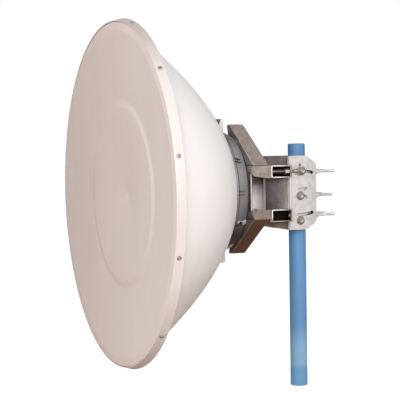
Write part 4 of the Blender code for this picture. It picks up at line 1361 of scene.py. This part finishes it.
@dataclass
class Bracket(SubAssembly):
    """Saddle, clamp, studs and cheek bolts around the mast."""

    washer_radius: float = 0.0122
    washer_thick: float = 0.0025
    washer_rim: float = 0.0006
    head_thick: float = 0.0055
    dished_end: float = 0.0019
    dished_radius: float = 0.0074
    spring_end: float = 0.0034
    spring_radius: float = 0.0072

    def make_castings(self) -> None:
        """Saddle and clamp with rounded edges, which take a painted highlight."""
        self.softened("saddle_casting", "pole_saddle", BRIGHT, BRIGHT_HIGHLIGHT, 0.0008)
        self.softened("clamp_casting", "pole_clamp", BRIGHT, BRIGHT_HIGHLIGHT, 0.0012, corner=0.013)

    def make_stud(self, node: str) -> None:
        """A screwed stud with its washer and nut behind the clamp."""
        low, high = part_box(node)
        middle = (low + high) / 2
        bar = thread_skin((middle.x, low.y, middle.z), BACK, high.y - low.y)
        base = (middle.x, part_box("pole_clamp")[1].y + 0.0003, middle.z)
        washer = disc(base, BACK, 36, 0.0074, 0.0, 0.0016, 0.0003, M8_BORE)
        nut = hexagon(base, BACK, 0.0017, 0.0085, M8_FLATS, M8_BORE)
        self.build(f"screwed_{node}", [bar, washer, nut], ZINC, node, angle=THREAD_ANGLE)

    def make_bolt(self, node: str) -> None:
        """A cheek bolt: shank, large washer, spring washer and hexagon head."""
        low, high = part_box(node)
        side = Side.NEAR if (low.x + high.x) > 0 else Side.FAR
        middle = (low + high) / 2
        way = (float(side.value), 0.0, 0.0)
        inner, outer = (low.x, high.x) if side is Side.NEAR else (high.x, low.x)
        length = abs(outer - inner)
        seat = length - self.washer_thick - self.head_thick
        dished, start = seat + self.dished_end, seat + self.spring_end
        origin = (inner, middle.y, middle.z)
        shank = disc(origin, way, 32, M8_RADIUS, 0.0, length - 0.002, 0.0004)
        spring = disc(origin, way, 48, self.spring_radius, dished, start, 0.0003)
        flats = M8_FLATS
        corner = flats * 2 / math.sqrt(3)
        head = rounded([(0.0, start), (corner, start), (corner, length - 0.0009), (flats * 0.93, length),
                        (flats * 0.62, length), (flats * 0.5, length - 0.0005), (0.0, length - 0.0006)],
                       0.00025, steps=3, closed=False)
        skins = [shank, spring, turn_profile(head, origin, way, 72, flats, closed=False)]
        self.build(f"fitted_{node}", skins, HEAD, node)
        rim = self.washer_radius
        washer = rounded([(M8_RADIUS, seat), (rim, seat), (rim, seat + self.washer_rim),
                          (self.dished_radius, dished), (M8_RADIUS, dished)], 0.0003)
        self.build(f"washer_{node[6:]}", [turn_profile(washer, origin, way, 60)], WASHER)

    def make(self) -> None:
        """Make the bracket's pieces."""
        self.make_castings()
        for node in sorted(NODES):
            if node.startswith("stud_"):
                self.make_stud(node)
            if node.startswith("cheek_bolt_"):
                self.make_bolt(node)


@dataclass
class TiltScrew(SubAssembly):
    """The eye on the near top bolt with its screwed spindle."""

    eye_radius: float = 0.0115
    eye_bore: float = 0.0046
    neck_radius: float = 0.0048
    neck_long: float = 0.022
    spindle_long: float = 0.083
    joined: float = 0.002
    aim_past: float = 0.0028

    def make(self) -> None:
        """Make the spindle: eye, neck and thread in one piece."""
        low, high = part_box("tilt_spindle")
        pivot = next(joint for joint in frame["joints"] if joint["child"] == self.body)
        half = (high.x - low.x) / 2
        at = np.array((high.x - half, pivot["pos_m"][1], pivot["pos_m"][2]))
        nut_low, nut_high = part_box("tilt_nut")
        nut = (nut_low + nut_high) / 2
        aim = np.array((0.0, nut_high.y + self.aim_past - at[1], nut.z - at[2]))
        aim = aim / np.linalg.norm(aim)
        way = tuple(aim)
        eye = disc(at, NEAR_WAY, 60, self.eye_radius, -half, half, 0.0012, self.eye_bore)
        neck_long = self.neck_long - self.eye_radius + self.joined
        neck_start = at + aim * (self.eye_radius - self.joined)
        neck = disc(neck_start, way, 32, self.neck_radius, 0.0, neck_long, 0.0008)
        bar_start = at + aim * (self.neck_long - 0.001)
        bar = thread_skin(bar_start, way, self.spindle_long - self.neck_long + 0.001)
        self.build("eye_screw", [eye, neck, bar], STEEL, "tilt_spindle", angle=THREAD_ANGLE)


@dataclass
class Mast(SubAssembly):
    """The blue tube with its flat cap and end plate."""

    cap_tall: float = 0.013
    cap_reach: float = 0.014
    cap_round: float = 0.0055
    foot_round: float = 0.0008

    def make(self) -> None:
        """Make the mast as one closed tube with softly rounded ends."""
        low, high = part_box("mast_tube")
        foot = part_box("mast_foot_plate")[0].z
        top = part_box("mast_cap")[1].z
        radius = (high.x - low.x) / 2
        rise = np.linspace(foot + 0.003, top - self.cap_tall, 40)
        side = np.stack([np.full_like(rise, radius), rise], axis=1)
        cap = rounded([(radius, top - self.cap_tall), (radius, top), (radius - self.cap_reach, top)],
                      self.cap_round, steps=9, closed=False)
        end = [(0.0, foot), (radius - self.foot_round, foot), (radius, foot + self.foot_round)]
        profile = np.concatenate([end, side, cap[1:], [(0.0, top)]])
        skin = turn_profile(profile, (0.0, 0.0, 0.0), UP, 96, closed=False)
        self.build("painted_mast", [skin], BLUE, "mast_tube", "mast_cap", "mast_foot_plate")


@dataclass(frozen=True)
class Studio:
    """Floor, light and the camera at the photograph's angle."""

    camera_at: Point = (3.0804, -1.5771, 0.6927)
    yaw: float = 1.17674
    pitch: float = -0.0475
    roll: float = -0.01609
    focal_pixels: float = 1222.94
    image_pixels: float = 400.0
    sensor: float = 36.0
    floor_radius: float = 120.0
    floor_drop: float = 0.0015
    floor_colour: Colour = (0.90, 0.90, 0.90)
    floor_glow: Colour = (0.53, 0.53, 0.53)
    ground_colour: Colour = (0.52, 0.43, 0.39)
    surround: float = 0.55

    def make_camera(self) -> None:
        """Place the camera by its three angles and give it the photograph's focal length."""
        flat = math.cos(self.pitch)
        forward = Vector((-math.sin(self.yaw) * flat, math.cos(self.yaw) * flat, math.sin(self.pitch)))
        level = forward.cross(Vector((0, 0, 1))).normalized()
        upright = level.cross(forward)
        right = level * math.cos(self.roll) + upright * math.sin(self.roll)
        above = upright * math.cos(self.roll) - level * math.sin(self.roll)
        data = bpy.data.cameras.new("view")
        data.lens = self.focal_pixels / self.image_pixels * self.sensor
        data.sensor_width = self.sensor
        data.clip_end = 400.0
        camera = bpy.data.objects.new("view", data)
        turn = Matrix((right, above, -forward)).transposed().to_4x4()
        camera.matrix_world = Matrix.Translation(self.camera_at) @ turn
        bpy.context.scene.collection.objects.link(camera)
        bpy.context.scene.camera = camera

    def make_floor(self) -> None:
        """A wide floor that looks pale and throws little light back up, warm as the ground it stands for."""
        profile = np.array([(0.0, 0.0), (2.0, 0.0), (8.0, 0.0), (self.floor_radius, 0.0)])
        skin = turn_profile(profile, (0.0, 0.0, -self.floor_drop), UP, 96, closed=False)
        floor = build_mesh("studio_floor", [skin])
        paper = bpy.data.materials.new("pale_floor")
        paper.use_nodes = True
        wire = Wiring(paper.node_tree)
        shader = paper.node_tree.nodes["Principled BSDF"]
        seen = wire.add("ShaderNodeLightPath").outputs["Is Camera Ray"]
        sides = {"Base Color": (self.ground_colour, self.floor_colour),
                 "Emission Color": ((0.0, 0.0, 0.0), self.floor_glow)}
        for label, (lit, shown) in sides.items():
            wire.feed(shader.inputs[label], wire.mix(seen, rgba(lit), rgba(shown)))
        shader.inputs["Emission Strength"].default_value = 1.0
        shader.inputs["Roughness"].default_value = 0.9
        floor.data.materials.append(paper)

    def make_light(self, name: str, place: Point, target: Point, size: float, power: float,
                   colour: Colour) -> None:
        """Add one square soft light, aimed at a point."""
        data = bpy.data.lights.new(name, "AREA")
        data.shape = "SQUARE"
        data.size = size
        data.energy = power
        data.color = colour
        lamp = bpy.data.objects.new(name, data)
        lamp.location = place
        lamp.rotation_euler = (Vector(target) - Vector(place)).to_track_quat("-Z", "Y").to_euler()
        bpy.context.scene.collection.objects.link(lamp)

    def make_world(self) -> None:
        """A white surround that is seen as white and lights a little less."""
        world = bpy.data.worlds.new("white_surround")
        world.use_nodes = True
        wire = Wiring(world.node_tree)
        backdrop = world.node_tree.nodes["Background"]
        backdrop.inputs["Color"].default_value = (1.0, 1.0, 1.0, 1.0)
        seen = wire.add("ShaderNodeLightPath").outputs["Is Camera Ray"]
        wire.feed(backdrop.inputs["Strength"], wire.ramp(seen, 0.0, 1.0, self.surround, 1.0))
        bpy.context.scene.world = world

    def make(self) -> None:
        """Make the whole studio."""
        self.make_camera()
        self.make_floor()
        self.make_world()
        self.make_light("key", (4.6, 1.1, 1.7), (0, -0.2, 0.5), 2.4, 84.0, (1.0, 0.995, 0.99))
        self.make_light("front", (-1.6, -4.6, 2.0), (0, -0.5, 0.5), 2.4, 92.0, (1.0, 0.985, 0.975))
        self.make_light("side", (3.2, -2.0, 1.3), (0, -0.1, 0.5), 1.4, 80.0, (1.0, 0.99, 0.98))
        bpy.context.scene.view_settings.view_transform = "Standard"


def main() -> None:
    """Build every sub-assembly in order."""
    logging.basicConfig(level=logging.INFO, format="%(name)s: %(message)s")
    streaks = (((60.0, 60.0, 3.0), 3.0), ((260.0, 260.0, 5.0), 2.0))
    clouds = (((7.0, 7.0, 1.8), 2.0), ((30.0, 30.0, 4.0), 3.0))
    GROUPS.update(mottle=mottle_group(), below=ground_reflection_group(),
                  streaks=upright_group("upright_streaks", streaks, 0.6, (0.35, 0.65)),
                  clouds=upright_group("soft_clouds", clouds, 0.75, (0.3, 0.7)))
    Studio().make()
    dish = Dish("dish")
    dish.make()
    Hub("dish", dish).make()
    Yoke("dish").make()
    Bracket("bracket").make()
    TiltScrew("tilt_screw").make()
    Mast("mast").make()


if __name__ == "__main__":
    main()
